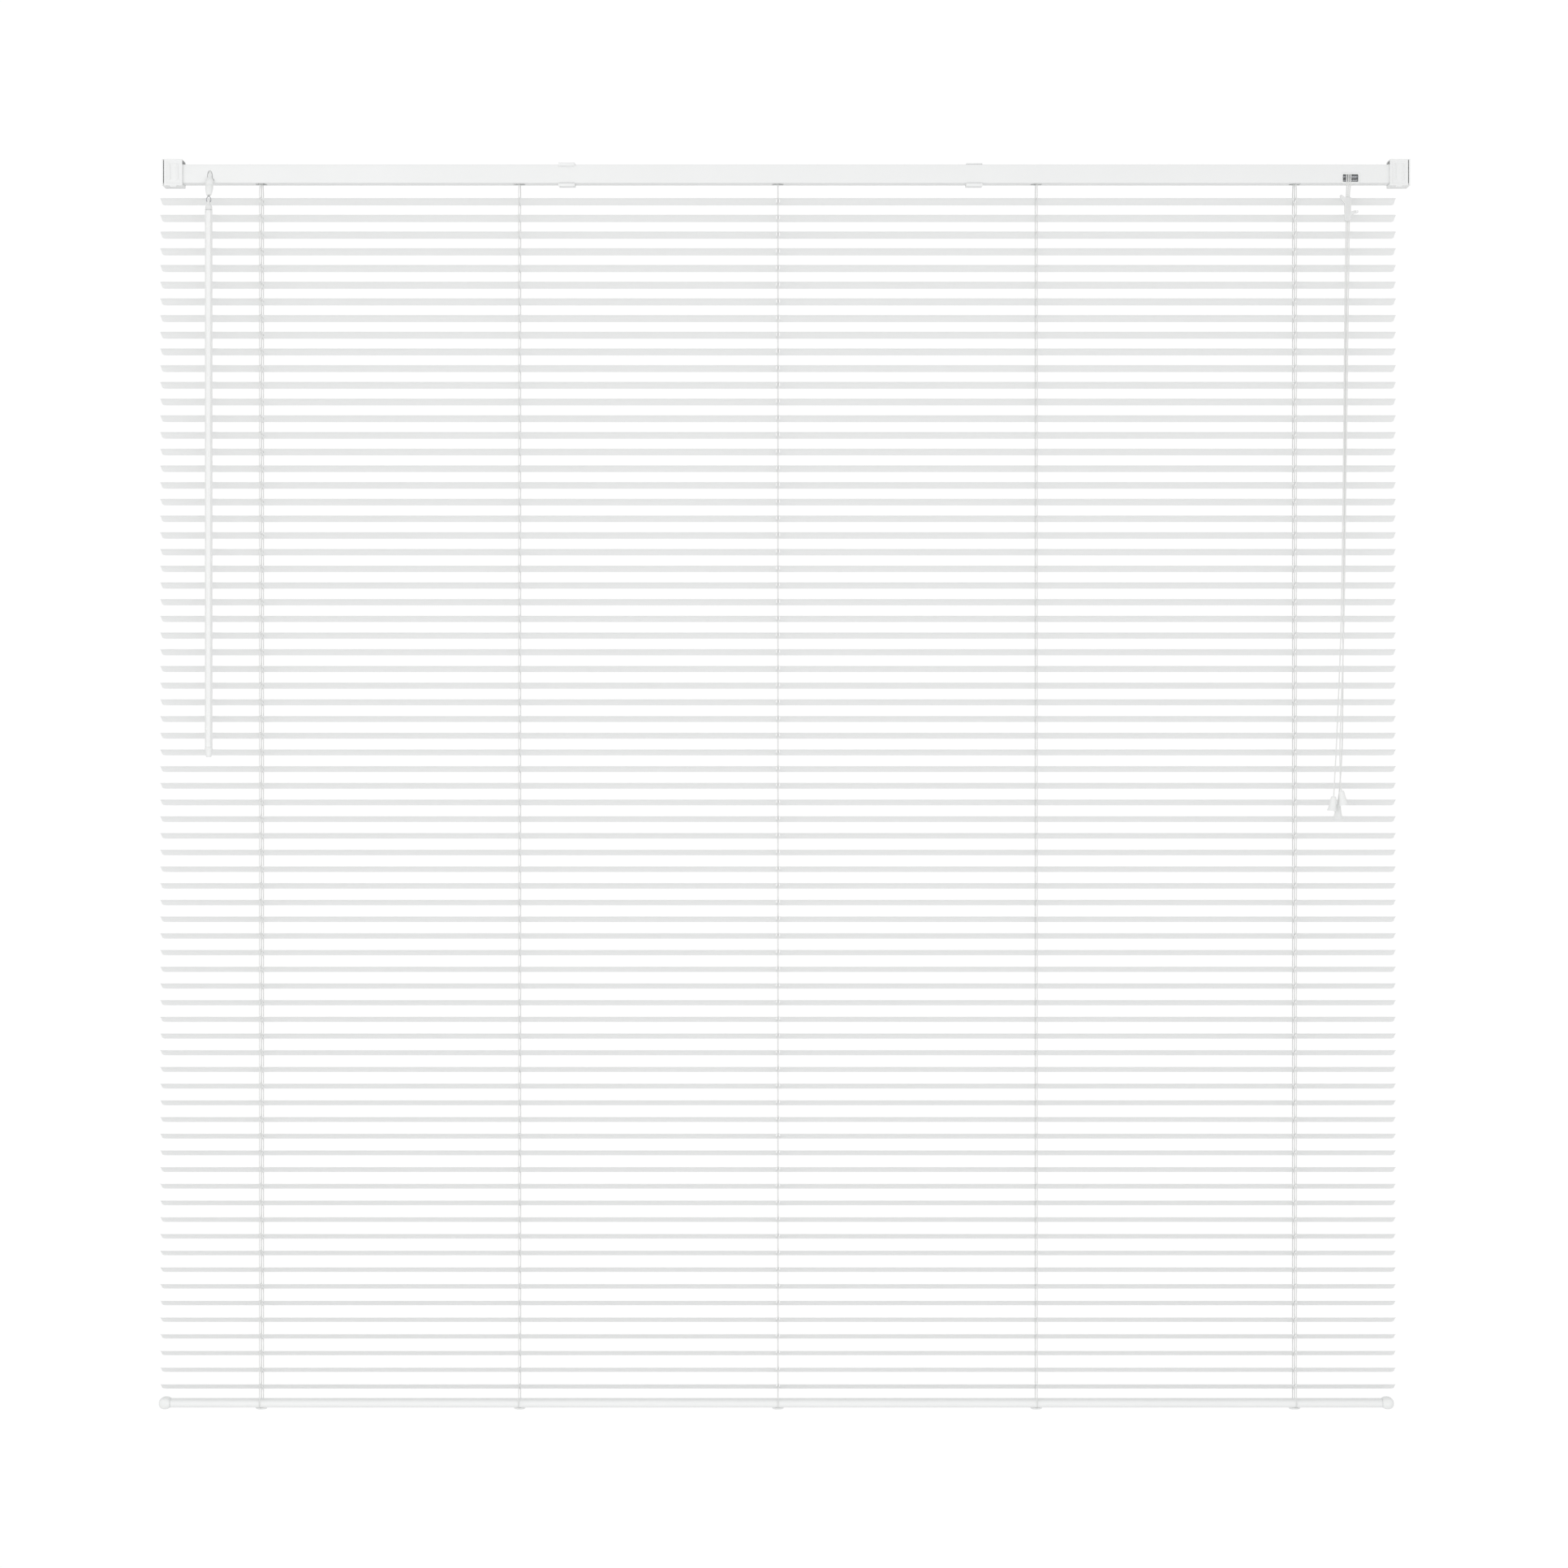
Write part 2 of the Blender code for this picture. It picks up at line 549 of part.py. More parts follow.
def smooth_route(route):
    """A smooth curve through the route's points, as evenly spaced points."""
    points = [Vector(p) * MM for p in route]
    fine = []
    for n in range(len(points) - 1):
        before = points[max(n - 1, 0)]
        start, end = points[n], points[n + 1]
        after = points[min(n + 2, len(points) - 1)]
        reach = (end - start).length / 3
        leave = (end - before).normalized() * reach
        arrive = (after - start).normalized() * reach
        fine += interpolate_bezier(start, start + leave, end - arrive, end, 24)[:-1]
    fine.append(points[-1])
    travelled = [0.0]
    for one, other in zip(fine, fine[1:]):
        travelled.append(travelled[-1] + (other - one).length)
    spaced, n = [], 0
    for k in range(POINTS_PER_PULL_CORD):
        target = travelled[-1] * spacing_share(k / (POINTS_PER_PULL_CORD - 1))
        while n < len(fine) - 2 and travelled[n + 1] < target:
            n += 1
        share = (target - travelled[n]) / (travelled[n + 1] - travelled[n])
        spaced.append(fine[n].lerp(fine[n + 1], min(max(share, 0), 1)))
    return spaced


def spacing_share(t):
    """Sets the points closer together near the top, where the cord bends."""
    return 0.22 * t + 0.78 * t ** 3


def make_pull_cord(name, route):
    curve = bpy.data.curves.new(name, "CURVE")
    curve.dimensions = "3D"
    curve.bevel_depth = PULL_CORD_RADIUS
    curve.bevel_resolution = 2
    curve.use_fill_caps = True
    points = smooth_route(route)
    spline = curve.splines.new("POLY")
    spline.points.add(len(points) - 1)
    for target, point in zip(spline.points, points):
        target.co = (*point, 1)
    curve.materials.append(material(CORD_WHITE))
    cord = bpy.data.objects.new(name, curve)
    bpy.context.scene.collection.objects.link(cord)
    cord.parent = bpy.data.objects["blind_frame"]


def make_tassel(cord_name, route):
    """A bell under the end of a pull cord, open below."""
    top = Vector(route[-1]) * MM
    profile = [
        (0, -GAP), (2.6 * MM, -GAP), (3.6 * MM, -1.5 * MM), (4.1 * MM, -7 * MM), (5.2 * MM, -14 * MM),
        (6.4 * MM, -TASSEL_HEIGHT), (5.2 * MM, -TASSEL_HEIGHT), (3.6 * MM, -12 * MM), (0, -12 * MM),
    ]
    lean = Matrix.Translation(top) @ Matrix.Rotation(TASSEL_LEAN[cord_name], 4, "Y")
    name = cord_name.replace("pull_cord", "cord_tassel")
    add_object(name, turn_shape(turned(profile, 14), lean), WHITE_PLASTIC, top)


def make_cord_joiner():
    """A flat clip with two wings, which the three pull cords run through."""
    outline = [
        (715.4, -43.0), (711.2, -39.5), (709.4, -41.0), (710.6, -45.5), (715.4, -50.5), (715.4, -72.0),
        (716.9, -74.0), (722.3, -74.0), (723.8, -72.0), (723.8, -68.0), (727.6, -64.5), (733.0, -62.6),
        (733.3, -60.4), (727.8, -60.0), (723.8, -61.6), (723.8, -43.0),
    ]
    outline = [(x * MM, z * MM) for x, z in outline]
    joiner = add_object(
        "cord_joiner", prism(outline, "Y", -20.9 * MM, -16.1 * MM), CLEAR_PLASTIC,
        (719.6 * MM, -18.5 * MM, -57 * MM),
    )
    slot = box((716.4 * MM, -19.8 * MM, -90 * MM), (722.8 * MM, -17.2 * MM, -30 * MM))
    cut(joiner, "cord_joiner_slot_cutter", slot)


# ---- slats, ladders and bottom rail


def slat_z(number):
    return -RAIL_HEIGHT - SLAT_PITCH * number


def slat_tilt(number):
    """The slats stand a little steeper towards the bottom, as their ladders take less weight."""
    share = (number - 1) / (SLAT_COUNT - 1)
    return SLAT_TILTS[0] * (1 - share) + SLAT_TILTS[1] * share


def section_ends(section):
    """The top and bottom of the cords in one section of slats, counted from 1."""
    first = SLATS_IN_SECTION * (section - 1) + 1
    last = SLATS_IN_SECTION * section
    top = -RAIL_HEIGHT - GAP if section == 1 else slat_z(first - 0.5) - GAP / 2
    low = BOTTOM_Z + BOTTOM_HALF_HEIGHT + GAP if section == SECTION_COUNT else slat_z(last + 0.5) + GAP / 2
    return top, low


def slat_outline():
    half_x, half_y, corner = SLAT_LENGTH / 2, SLAT_WIDTH / 2, SLAT_CORNER
    return [
        (CURTAIN_X + x, y)
        for x, y in (
            (-half_x, -half_y + corner), (-half_x + corner, -half_y), (half_x - corner, -half_y),
            (half_x, -half_y + corner), (half_x, half_y - corner), (half_x - corner, half_y),
            (-half_x + corner, half_y), (-half_x, half_y - corner),
        )
    ]


def make_section(section):
    """Twelve slats, held at their spacing by the lift cords that run through them."""
    first = SLATS_IN_SECTION * (section - 1) + 1
    slats = bmesh.new()
    for number in range(first, first + SLATS_IN_SECTION):
        slat = prism(slat_outline(), "Z", -SLAT_THICKNESS / 2, SLAT_THICKNESS / 2)
        place = Matrix.Translation((0, 0, slat_z(number))) @ Matrix.Rotation(-slat_tilt(number), 4, "X")
        turn_shape(slat, place)
        mesh = bpy.data.meshes.new("slat")
        slat.to_mesh(mesh)
        slat.free()
        slats.from_mesh(mesh)
        bpy.data.meshes.remove(mesh)
    top, low = section_ends(section)
    label = f"{first:02d}_{first + SLATS_IN_SECTION - 1:02d}"
    made = add_object(f"slats_{label}", slats, WHITE_SLAT, (CURTAIN_X, 0, top))
    for number, x in enumerate(LIFT_CORD_X, 1):
        cord = prism(circle(LIFT_CORD_RADIUS, 4, (x, 0)), "Z", low, top)
        join(made, f"lift_cord_{number}_{label}", cord)
    for side, y in (("front", -LADDER_CORD_Y), ("rear", LADDER_CORD_Y)):
        cord = prism(circle(LADDER_CORD_RADIUS, 6, (LADDER_X[2], y)), "Z", low, top)
        add_object(f"{side}_ladder_{label}", cord, CORD_WHITE, (LADDER_X[2], y, top))


def bottom_profile(inset):
    """The bottom rail's outline: flat below, with full round edges and a slightly crowned top."""
    depth, height = BOTTOM_HALF_DEPTH - inset, BOTTOM_HALF_HEIGHT - inset
    half = [
        (depth * 0.55, -height), (depth * 0.88, -height * 0.86), (depth, -height * 0.25),
        (depth * 0.97, height * 0.35), (depth * 0.8, height * 0.78), (depth * 0.4, height),
    ]
    left = [(-y, z) for y, z in reversed(half)]
    return [(y, BOTTOM_Z + z) for y, z in half + left]


def make_bottom_rail():
    pivot = (BOTTOM_X, 0, BOTTOM_Z)
    reach = BOTTOM_LENGTH / 2 - END_CAP_LENGTH
    low_x, high_x = BOTTOM_X - reach, BOTTOM_X + reach
    rail = add_object(
        "bottom_rail", pipe(bottom_profile(0), bottom_profile(BOTTOM_WALL), "X", low_x, high_x),
        WHITE_RAIL, pivot,
    )
    for number, x in enumerate(LADDER_X, 1):
        stem_hole = prism(
            circle(PLUG_STEM_RADIUS + GAP, 12, (x, 0)), "Z", BOTTOM_Z - 10 * MM, BOTTOM_Z - 1 * MM
        )
        cut(rail, f"plug_hole_cutter_{number}", stem_hole)
        make_plug(number, x, pivot)
    make_end_cap("left", low_x - GAP, -1, pivot)
    make_end_cap("right", high_x + GAP, 1, pivot)


def make_plug(number, x, pivot):
    """A round button that ties a ladder's ends under the bottom rail."""
    under = BOTTOM_Z - BOTTOM_HALF_HEIGHT - GAP
    profile = [
        (0, under + 3.5 * MM), (PLUG_STEM_RADIUS, under + 3.5 * MM), (PLUG_STEM_RADIUS, under),
        (PLUG_RADIUS, under), (PLUG_RADIUS, under - 1.4 * MM), (PLUG_RADIUS - 1.2 * MM, under - 2.6 * MM),
        (0, under - 2.6 * MM),
    ]
    add_object(f"ladder_plug_{number}", turned(profile, 14, (x, 0)), WHITE_PLASTIC, pivot)


def make_end_cap(name, face_x, side, pivot):
    """A bulging cap; side is -1 at the left end and 1 at the right end."""
    shape = bmesh.new()
    outline = bottom_profile(0)
    rings = []
    for along, swell in ((0.0, 1.02), (0.12, 1.3), (0.5, 1.42), (0.8, 1.2), (1.0, 0.7)):
        x = face_x + side * END_CAP_LENGTH * along
        ring = []
        for y, z in outline:
            height = (z - BOTTOM_Z) * swell
            ring.append(shape.verts.new((x, y * (1 + (swell - 1) * 0.25), BOTTOM_Z + height)))
        rings.append(ring)
    count = len(outline)
    shape.faces.new(rings[0])
    shape.faces.new(rings[-1])
    for first, second in zip(rings, rings[1:]):
        for n in range(count):
            after = (n + 1) % count
            shape.faces.new((first[n], first[after], second[after], second[n]))
    bmesh.ops.recalc_face_normals(shape, faces=shape.faces)
    add_object(f"bottom_rail_{name}_cap", shape, WHITE_PLASTIC, pivot)


def main():
    clear_scene()
    frame = bpy.data.objects.new("blind_frame", None)
    bpy.context.scene.collection.objects.link(frame)
    frame.location = ORIGIN_SHIFT
    make_headrail()
    make_box_bracket(-1, "left")
    make_box_bracket(1, "right")
    make_support_bracket("left_support_bracket", SUPPORT_X[0], True)
    make_support_bracket("right_support_bracket", SUPPORT_X[1], False)
    make_shaft()
    make_tilter()
    make_wand()
    make_cord_lock()
    for name, route in PULL_CORD_ROUTES.items():
        make_pull_cord(name, route)
        make_tassel(name, route)
    make_cord_joiner()
    for section in range(1, SECTION_COUNT + 1):
        make_section(section)
    make_bottom_rail()


main()
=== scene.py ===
"""The finished look of a white venetian blind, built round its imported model.

World frame: X along the blind's width, -Y towards the room, +Z up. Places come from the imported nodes'
boxes. Sizes that those boxes don't give are named below, in millimetres times MM. at(x, y, z) turns a
place in the blind's own frame, in millimetres from the top middle of the headrail, into the world frame.
"""

from math import atan, cos, pi, radians, sin, sqrt, tan

import bmesh
import bpy
from mathutils import Matrix, Vector
from mathutils.geometry import interpolate_bezier


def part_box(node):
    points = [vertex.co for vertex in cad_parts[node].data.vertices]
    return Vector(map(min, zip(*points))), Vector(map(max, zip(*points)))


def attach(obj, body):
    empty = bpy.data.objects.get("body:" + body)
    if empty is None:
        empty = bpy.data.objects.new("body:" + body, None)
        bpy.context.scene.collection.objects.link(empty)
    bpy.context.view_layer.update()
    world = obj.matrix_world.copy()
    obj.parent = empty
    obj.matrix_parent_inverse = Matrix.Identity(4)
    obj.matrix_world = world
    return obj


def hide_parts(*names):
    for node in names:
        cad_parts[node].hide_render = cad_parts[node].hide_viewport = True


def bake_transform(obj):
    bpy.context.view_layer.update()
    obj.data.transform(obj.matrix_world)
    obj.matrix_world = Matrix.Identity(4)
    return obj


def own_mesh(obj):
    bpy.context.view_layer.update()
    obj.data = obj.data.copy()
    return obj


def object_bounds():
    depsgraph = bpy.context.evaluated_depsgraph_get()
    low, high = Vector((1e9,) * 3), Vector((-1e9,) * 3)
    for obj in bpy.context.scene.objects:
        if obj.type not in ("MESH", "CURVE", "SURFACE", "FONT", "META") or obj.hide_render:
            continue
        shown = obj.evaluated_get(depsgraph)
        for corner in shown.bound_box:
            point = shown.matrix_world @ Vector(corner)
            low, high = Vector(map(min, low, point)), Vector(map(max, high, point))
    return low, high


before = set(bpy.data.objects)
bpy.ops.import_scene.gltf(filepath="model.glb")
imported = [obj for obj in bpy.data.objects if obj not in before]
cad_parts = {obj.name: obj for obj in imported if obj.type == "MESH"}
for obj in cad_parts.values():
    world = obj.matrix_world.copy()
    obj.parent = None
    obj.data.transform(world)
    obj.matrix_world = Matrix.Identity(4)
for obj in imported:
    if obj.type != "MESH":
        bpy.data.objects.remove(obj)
CAD_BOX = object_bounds()
MM = 0.001
GAP = 0.3 * MM  # between pieces that touch

# ---- places and sizes

RAIL_LOW, RAIL_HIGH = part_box("headrail")
ORIGIN = Vector(((RAIL_LOW.x + RAIL_HIGH.x) / 2, (RAIL_LOW.y + RAIL_HIGH.y) / 2, RAIL_HIGH.z))
RAIL_WALL = 0.8 * MM
RAIL_LIP = 4 * MM

BRACKET_WALL = 1.5 * MM
GATE_THICKNESS = 1.3 * MM
GATE_FRONT = ORIGIN.y - 16.4 * MM
GATE_GROOVE = 1.2 * MM  # between a gate and the bracket's outer wall
SCREW_HOLE_RADIUS = 2.2 * MM
SCREW_SLOT_LENGTH = 7 * MM

SLAT_COUNT, SECTION_SLATS = 72, 12
SECTIONS = [f"{n:02d}_{n + 11}" for n in range(1, SLAT_COUNT, SECTION_SLATS)]
SLAT_WIDTH = 25 * MM
SLAT_THICKNESS = 0.4 * MM
SLAT_CORNER = 4 * MM
SLAT_CROWN = 1.5 * MM
SLAT_TILTS = (radians(14), radians(20))  # top and bottom slat; the room edge stands higher
ROUTE_HOLE = (2.6 * MM, 7.5 * MM)  # half the length along X and across the slat
LADDER_CORD_Y = 13.4 * MM
LADDER_CORD_RADIUS = 0.6 * MM
LADDER_SPREAD = 1.0 * MM  # at the outermost ladders
RUNG_RADIUS = 0.36 * MM
LIFT_CORD_RADIUS = 0.8 * MM
LIFT_CORD_STEPS = 140
LEAD_Y = 7.8 * MM  # where a ladder's cords run inside the headrail

WORM_LEAN = radians(25)
GEAR_RADIUS = 6 * MM
WORM_RADIUS = 3 * MM
THREAD_RADIUS, THREAD_PITCH, THREAD_TOP = 2.55 * MM, 1.57 * MM, 3.2 * MM
THREAD_TURNS, THREAD_STEPS = 6, 16
WAND_FLATS = 8.6 * MM

PULL_CORD_RADIUS = 0.8 * MM

# Each pull cord's route from the cord lock, through the cord joiner, to its tassel, in mm.
PULL_CORD_ROUTES = {
    "1": [
        (719.4, -10.9, -13), (719.3, -12.2, -20), (718.9, -15.2, -29), (718, -17.9, -38),
        (717.6, -18.5, -46), (717.6, -18.5, -57), (717.6, -18.5, -68), (717.5, -18.6, -78),
        (716.6, -19.3, -130), (715, -21.4, -250), (713, -24.4, -420), (709.6, -27.6, -600),
        (703.8, -30.4, -740), (700.8, -31.8, -795), (700, -32, -810.3),
    ],
    "2": [
        (722, -10.9, -13), (721.8, -12.2, -20), (721, -15.2, -29), (720, -17.9, -38),
        (719.6, -18.5, -46), (719.6, -18.5, -57), (719.6, -18.5, -68), (719.5, -18.5, -78),
        (718.7, -18.6, -130), (717.1, -18.9, -250), (715.4, -19.6, -420), (713.4, -20.4, -600),
        (712.3, -21.2, -740), (709.3, -21.5, -795), (706.7, -21.5, -820.3),
    ],
    "3": [
        (724.6, -10.9, -13), (724.3, -12.2, -20), (723.2, -15.2, -29), (722, -17.9, -38),
        (721.6, -18.5, -46), (721.6, -18.5, -57), (721.6, -18.5, -68), (721.5, -18.6, -78),
        (720.8, -19.4, -130), (718.9, -21.6, -250), (716.2, -24.8, -420), (713.2, -28, -600),
        (708.2, -30.8, -740), (708.4, -31.9, -787), (709.5, -32, -803.2),
    ],
}
TASSEL_LEAN = {"1": radians(7), "2": 0.0, "3": radians(-10)}


def at(x, y, z):
    """A place in the world frame from the blind's own frame, in millimetres."""
    return ORIGIN + Vector((x, y, z)) * MM


def middle(node):
    low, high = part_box(node)
    return (low + high) / 2


LADDER_X = [middle(f"tilt_drum_{n}").x for n in range(1, 6)]
LIFT_CORD_X = LADDER_X[::2]
SLATS_LOW, SLATS_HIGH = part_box("slats_13_24")
SLAT_PITCH = (SLATS_HIGH.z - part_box("slats_25_36")[1].z) / SECTION_SLATS
BOTTOM_LOW, BOTTOM_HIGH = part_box("bottom_rail")
BOTTOM_Z = middle("bottom_rail").z
TILTER_X = middle("tilter_worm").x
WAND_Y = middle("wand").y
LOCK_X = middle("cord_lock_housing").x
SHAFT_Z = middle("tilt_rod").z
WORM_REACH = GEAR_RADIUS + WORM_RADIUS + GAP  # from the shaft's axis to the worm's
# From here, where it meets the gear, the worm's axis leans out of the headrail's front.
WORM_PLACE = (TILTER_X, ORIGIN.y - WORM_REACH * cos(WORM_LEAN), SHAFT_Z + WORM_REACH * sin(WORM_LEAN))


def slat_z(number):
    return RAIL_LOW.z - SLAT_PITCH * number


def slat_tilt(number):
    share = (number - 1) / (SLAT_COUNT - 1)
    return SLAT_TILTS[0] * (1 - share) + SLAT_TILTS[1] * share


# ---- procedural finishes


class Look:
    """A procedural material for one of the record's finishes."""

    def __init__(self, slot, roughness, **fixed):
        self.slot = slot
        self.material = bpy.data.materials.new(f"look_{slot}")
        self.material.use_nodes = True
        self.tree = self.material.node_tree
        self.shader = self.tree.nodes["Principled BSDF"]
        self.shader.inputs["Roughness"].default_value = roughness
        for name, value in fixed.items():
            self.shader.inputs[name.replace("_", " ")].default_value = value
        self.place = self.node("ShaderNodeTexCoord").outputs

    def node(self, kind, inputs=(), **settings):
        made = self.tree.nodes.new(kind)
        for name, value in settings.items():
            setattr(made, name, value)
        for socket, value in dict(inputs).items():
            if isinstance(value, bpy.types.NodeSocket):
                self.tree.links.new(value, made.inputs[socket])
            else:
                made.inputs[socket].default_value = value
        return made

    def noise(self, scale, detail=3.0, stretch=(1, 1, 1), space="Object"):
        """A noise of `scale` patches per metre, more along the axes with a larger stretch."""
        mapped = self.node("ShaderNodeMapping", {"Vector": self.place[space], "Scale": stretch})
        made = self.node(
            "ShaderNodeTexNoise", {"Vector": mapped.outputs[0], "Scale": scale, "Detail": detail}
        )
        return made.outputs["Fac"]

    def math(self, operation, first, second=0.0):
        return self.node("ShaderNodeMath", {0: first, 1: second}, operation=operation).outputs[0]

    def spread(self, value, low=0.0, high=1.0, source=(0.3, 0.7)):
        """Carries a value from one range to another; the usual one is where a noise varies."""
        inputs = {"Value": value, "From Min": source[0], "From Max": source[1], "To Min": low, "To Max": high}
        return self.node("ShaderNodeMapRange", inputs).outputs["Result"]

    def blend(self, share, first, second):
        """A colour between two colours."""
        first, second = (c if isinstance(c, bpy.types.NodeSocket) else (*c, 1) for c in (first, second))
        return self.node("ShaderNodeMix", {0: share, 6: first, 7: second}, data_type="RGBA").outputs[2]

    def use(self, socket, value):
        self.tree.links.new(value, self.shader.inputs[socket])

    def paint(self, value, first, second):
        """A base colour that goes from one colour to another with a noise."""
        self.use("Base Color", self.blend(self.spread(value), first, second))

    def bumps(self, *layers):
        """Adds height layers, each a value and its full height in metres."""
        normal = None
        for value, height in layers:
            inputs = {"Height": value, "Distance": height}
            if normal:
                inputs["Normal"] = normal
            normal = self.node("ShaderNodeBump", inputs).outputs["Normal"]
        self.use("Normal", normal)


def enamel(slot, light, dark, roughness, peel=0.00002):
    """Baked enamel on steel: faint orange peel, slight clouding and a little dust in the roughness."""
    look = Look(slot, roughness, Coat_Weight=0.12, Coat_Roughness=0.2)
    look.paint(look.noise(9, 4), light, dark)
    look.use("Roughness", look.spread(look.noise(55, 5), roughness - 0.07, roughness + 0.1))
    look.bumps((look.noise(420, 2), peel), (look.noise(2600, 1), peel * 0.25))
    return look


def slat_enamel():
    """Enamelled aluminium strip: fine rolling lines along the slat, and dust on its upper face."""
    look = Look("white_slat", 0.4, Coat_Weight=0.1, Coat_Roughness=0.25)
    lines = look.noise(1, 3, (6, 1500, 1), "UV")
    cloud = look.spread(look.noise(7, 4), 0.0, 0.6)
    upward = look.node("ShaderNodeSeparateXYZ", {"Vector": look.place["Normal"]}).outputs["Z"]
    lying = look.spread(upward, 0.0, 0.35, (0.6, 1.0))
    dust = look.math("MULTIPLY", lying, look.spread(look.noise(160, 5)))
    shade = look.blend(cloud, (0.945, 0.952, 0.949), (0.932, 0.939, 0.936))
    look.use("Base Color", look.blend(dust, shade, (0.90, 0.897, 0.885)))
    streak = look.math("ADD", look.spread(lines, -0.05, 0.05), look.spread(look.noise(30, 4), 0.34, 0.46))
    look.use("Roughness", look.math("ADD", streak, look.math("MULTIPLY", dust, 0.3)))
    look.bumps((lines, 0.000006), (look.noise(700, 2), 0.000008))
    return look


def moulded(slot, light, dark, roughness, grain=0.00002):
    """Moulded plastic: a fine spark-eroded grain, faint flow marks and uneven gloss."""
    deep = {"Subsurface Weight": 0.06, "Subsurface Scale": 0.002, "Subsurface Radius": (1, 0.95, 0.9)}
    look = Look(slot, roughness, **deep)
    look.paint(look.noise(35, 3, (1, 1, 0.3)), light, dark)
    look.use("Roughness", look.spread(look.noise(240, 4), roughness - 0.08, roughness + 0.1))
    look.bumps((look.noise(1800, 2), grain), (look.noise(120, 2), grain * 1.5))
    return look


def clear_plastic(name, through):
    """Translucent plastic: draw lines along its length and a faint haze. through is how clear it is."""
    look = Look("clear_plastic", 0.22, IOR=1.49, Transmission_Weight=through, Coat_Weight=0.1)
    look.material.name = f"look_{name}"
    look.paint(look.noise(18, 3, (1, 1, 0.25)), (0.96, 0.966, 0.962), (0.925, 0.933, 0.928))
    look.use("Roughness", look.spread(look.noise(90, 4, (1, 1, 0.1)), 0.16, 0.34))
    look.bumps((look.noise(900, 2, (1, 1, 0.01)), 0.000015), (look.noise(400, 3), 0.000008))
    return look


def steel(slot, light, dark, roughness, stretch):
    """Plated steel: fine drawing lines along its length and uneven brightness."""
    look = Look(slot, roughness, Metallic=1.0)
    look.paint(look.noise(140, 4), light, dark)
    lines = look.noise(1200, 3, stretch)
    look.use("Roughness", look.spread(lines, roughness - 0.08, roughness + 0.14))
    look.bumps((lines, 0.00002), (look.noise(300, 2), 0.00001))
    return look


STRANDS = 4  # one way round a braided cord
CROSSINGS_PER_METRE = 800


def braid():
    """Braided polyester: two sets of strands crossing round the cord, by its UVs, with painted shade
    darkening the hollows between the strands.
    """
    look = Look("cord_white", 0.78, Sheen_Weight=0.25, Sheen_Roughness=0.5)
    parts = look.node("ShaderNodeSeparateXYZ", {"Vector": look.place["UV"]}).outputs
    around = look.math("MULTIPLY", parts["X"], 2 * pi * STRANDS)
    along = look.math("MULTIPLY", parts["Y"], 2 * pi * CROSSINGS_PER_METRE)
    one = look.math("SINE", look.math("ADD", around, along))
    other = look.math("SINE", look.math("SUBTRACT", around, along))
    weave = look.math("MULTIPLY", one, other)
    fuzz = look.noise(5000, 2)
    # Painted shade: the base colour is darker where the weave is low, in the hollows between the strands.
    shade = look.spread(weave, 0.0, 1.0, (-1, 1))
    look.use("Base Color", look.blend(shade, (0.80, 0.81, 0.80), (0.90, 0.905, 0.895)))
    look.use("Roughness", look.spread(fuzz, 0.7, 0.88))
    look.bumps((weave, 0.00008), (fuzz, 0.00002))
    return look


def studio_floor():
    look = Look("studio_floor", 0.8)
    look.paint(look.noise(3, 3), (0.87, 0.87, 0.87), (0.86, 0.86, 0.86))
    return look


WHITE_STEEL = enamel("white_steel", (0.885, 0.892, 0.89), (0.868, 0.876, 0.873), 0.36)
WHITE_RAIL = enamel("white_rail", (0.88, 0.888, 0.884), (0.862, 0.87, 0.868), 0.4)
WHITE_SLAT = slat_enamel()
WHITE_PLASTIC = moulded("white_plastic", (0.88, 0.89, 0.884), (0.858, 0.868, 0.862), 0.42)
MILKY_PLASTIC = clear_plastic("milky_plastic", 0.1)
CLEAR_PLASTIC = clear_plastic("clear_plastic", 0.2)
PLATED_STEEL = steel("plated_steel", (0.62, 0.63, 0.64), (0.5, 0.51, 0.52), 0.3, (0.02, 1, 1))
BRIGHT_STEEL = steel("bright_steel", (0.5, 0.51, 0.53), (0.36, 0.37, 0.39), 0.32, (1, 1, 0.1))
CORD_WHITE = braid()
STUDIO_FLOOR = studio_floor()


# ---- shapes in the world frame, each a bmesh


def circle(radius, sides, center=(0, 0)):
    angles = [2 * pi * n / sides for n in range(sides)]
    return [(center[0] + radius * cos(a), center[1] + radius * sin(a)) for a in angles]


def rounded(outline, radius, steps=4):
    """An outline with its corners rounded; radius is one number, or one for each corner."""
    radii = radius if hasattr(radius, "__len__") else [radius] * len(outline)
    made = []
    for n, corner in enumerate(outline):
        corner = Vector(corner)
        before = Vector(outline[n - 1]) - corner
        after = Vector(outline[(n + 1) % len(outline)]) - corner
        if radii[n] <= 0:
            made.append(tuple(corner))
            continue
        reach = min(radii[n] / tan(before.angle(after) / 2), 0.48 * before.length, 0.48 * after.length)
        start, end = corner + before.normalized() * reach, corner + after.normalized() * reach
        for k in range(steps + 1):
            t = k / steps
            made.append(tuple(start * (1 - t) ** 2 + corner * (2 * t * (1 - t)) + end * t ** 2))
    return made


def smooth_loop(outline, steps=5):
    """A closed smooth curve through an outline's points."""
    count, made = len(outline), []
    for n in range(count):
        p0, p1, p2, p3 = (Vector(outline[(n + k) % count]) for k in (-1, 0, 1, 2))
        for k in range(steps):
            t = k / steps
            point = (
                p1 * 2 + (p2 - p0) * t + (p0 * 2 - p1 * 5 + p2 * 4 - p3) * t ** 2
                + (p1 * 3 - p0 - p2 * 3 + p3) * t ** 3
            ) / 2
            made.append(tuple(point))
    return made


def point_on(axis, along, point):
    a, b = point
    return {"X": (along, a, b), "Y": (a, along, b), "Z": (a, b, along)}[axis]


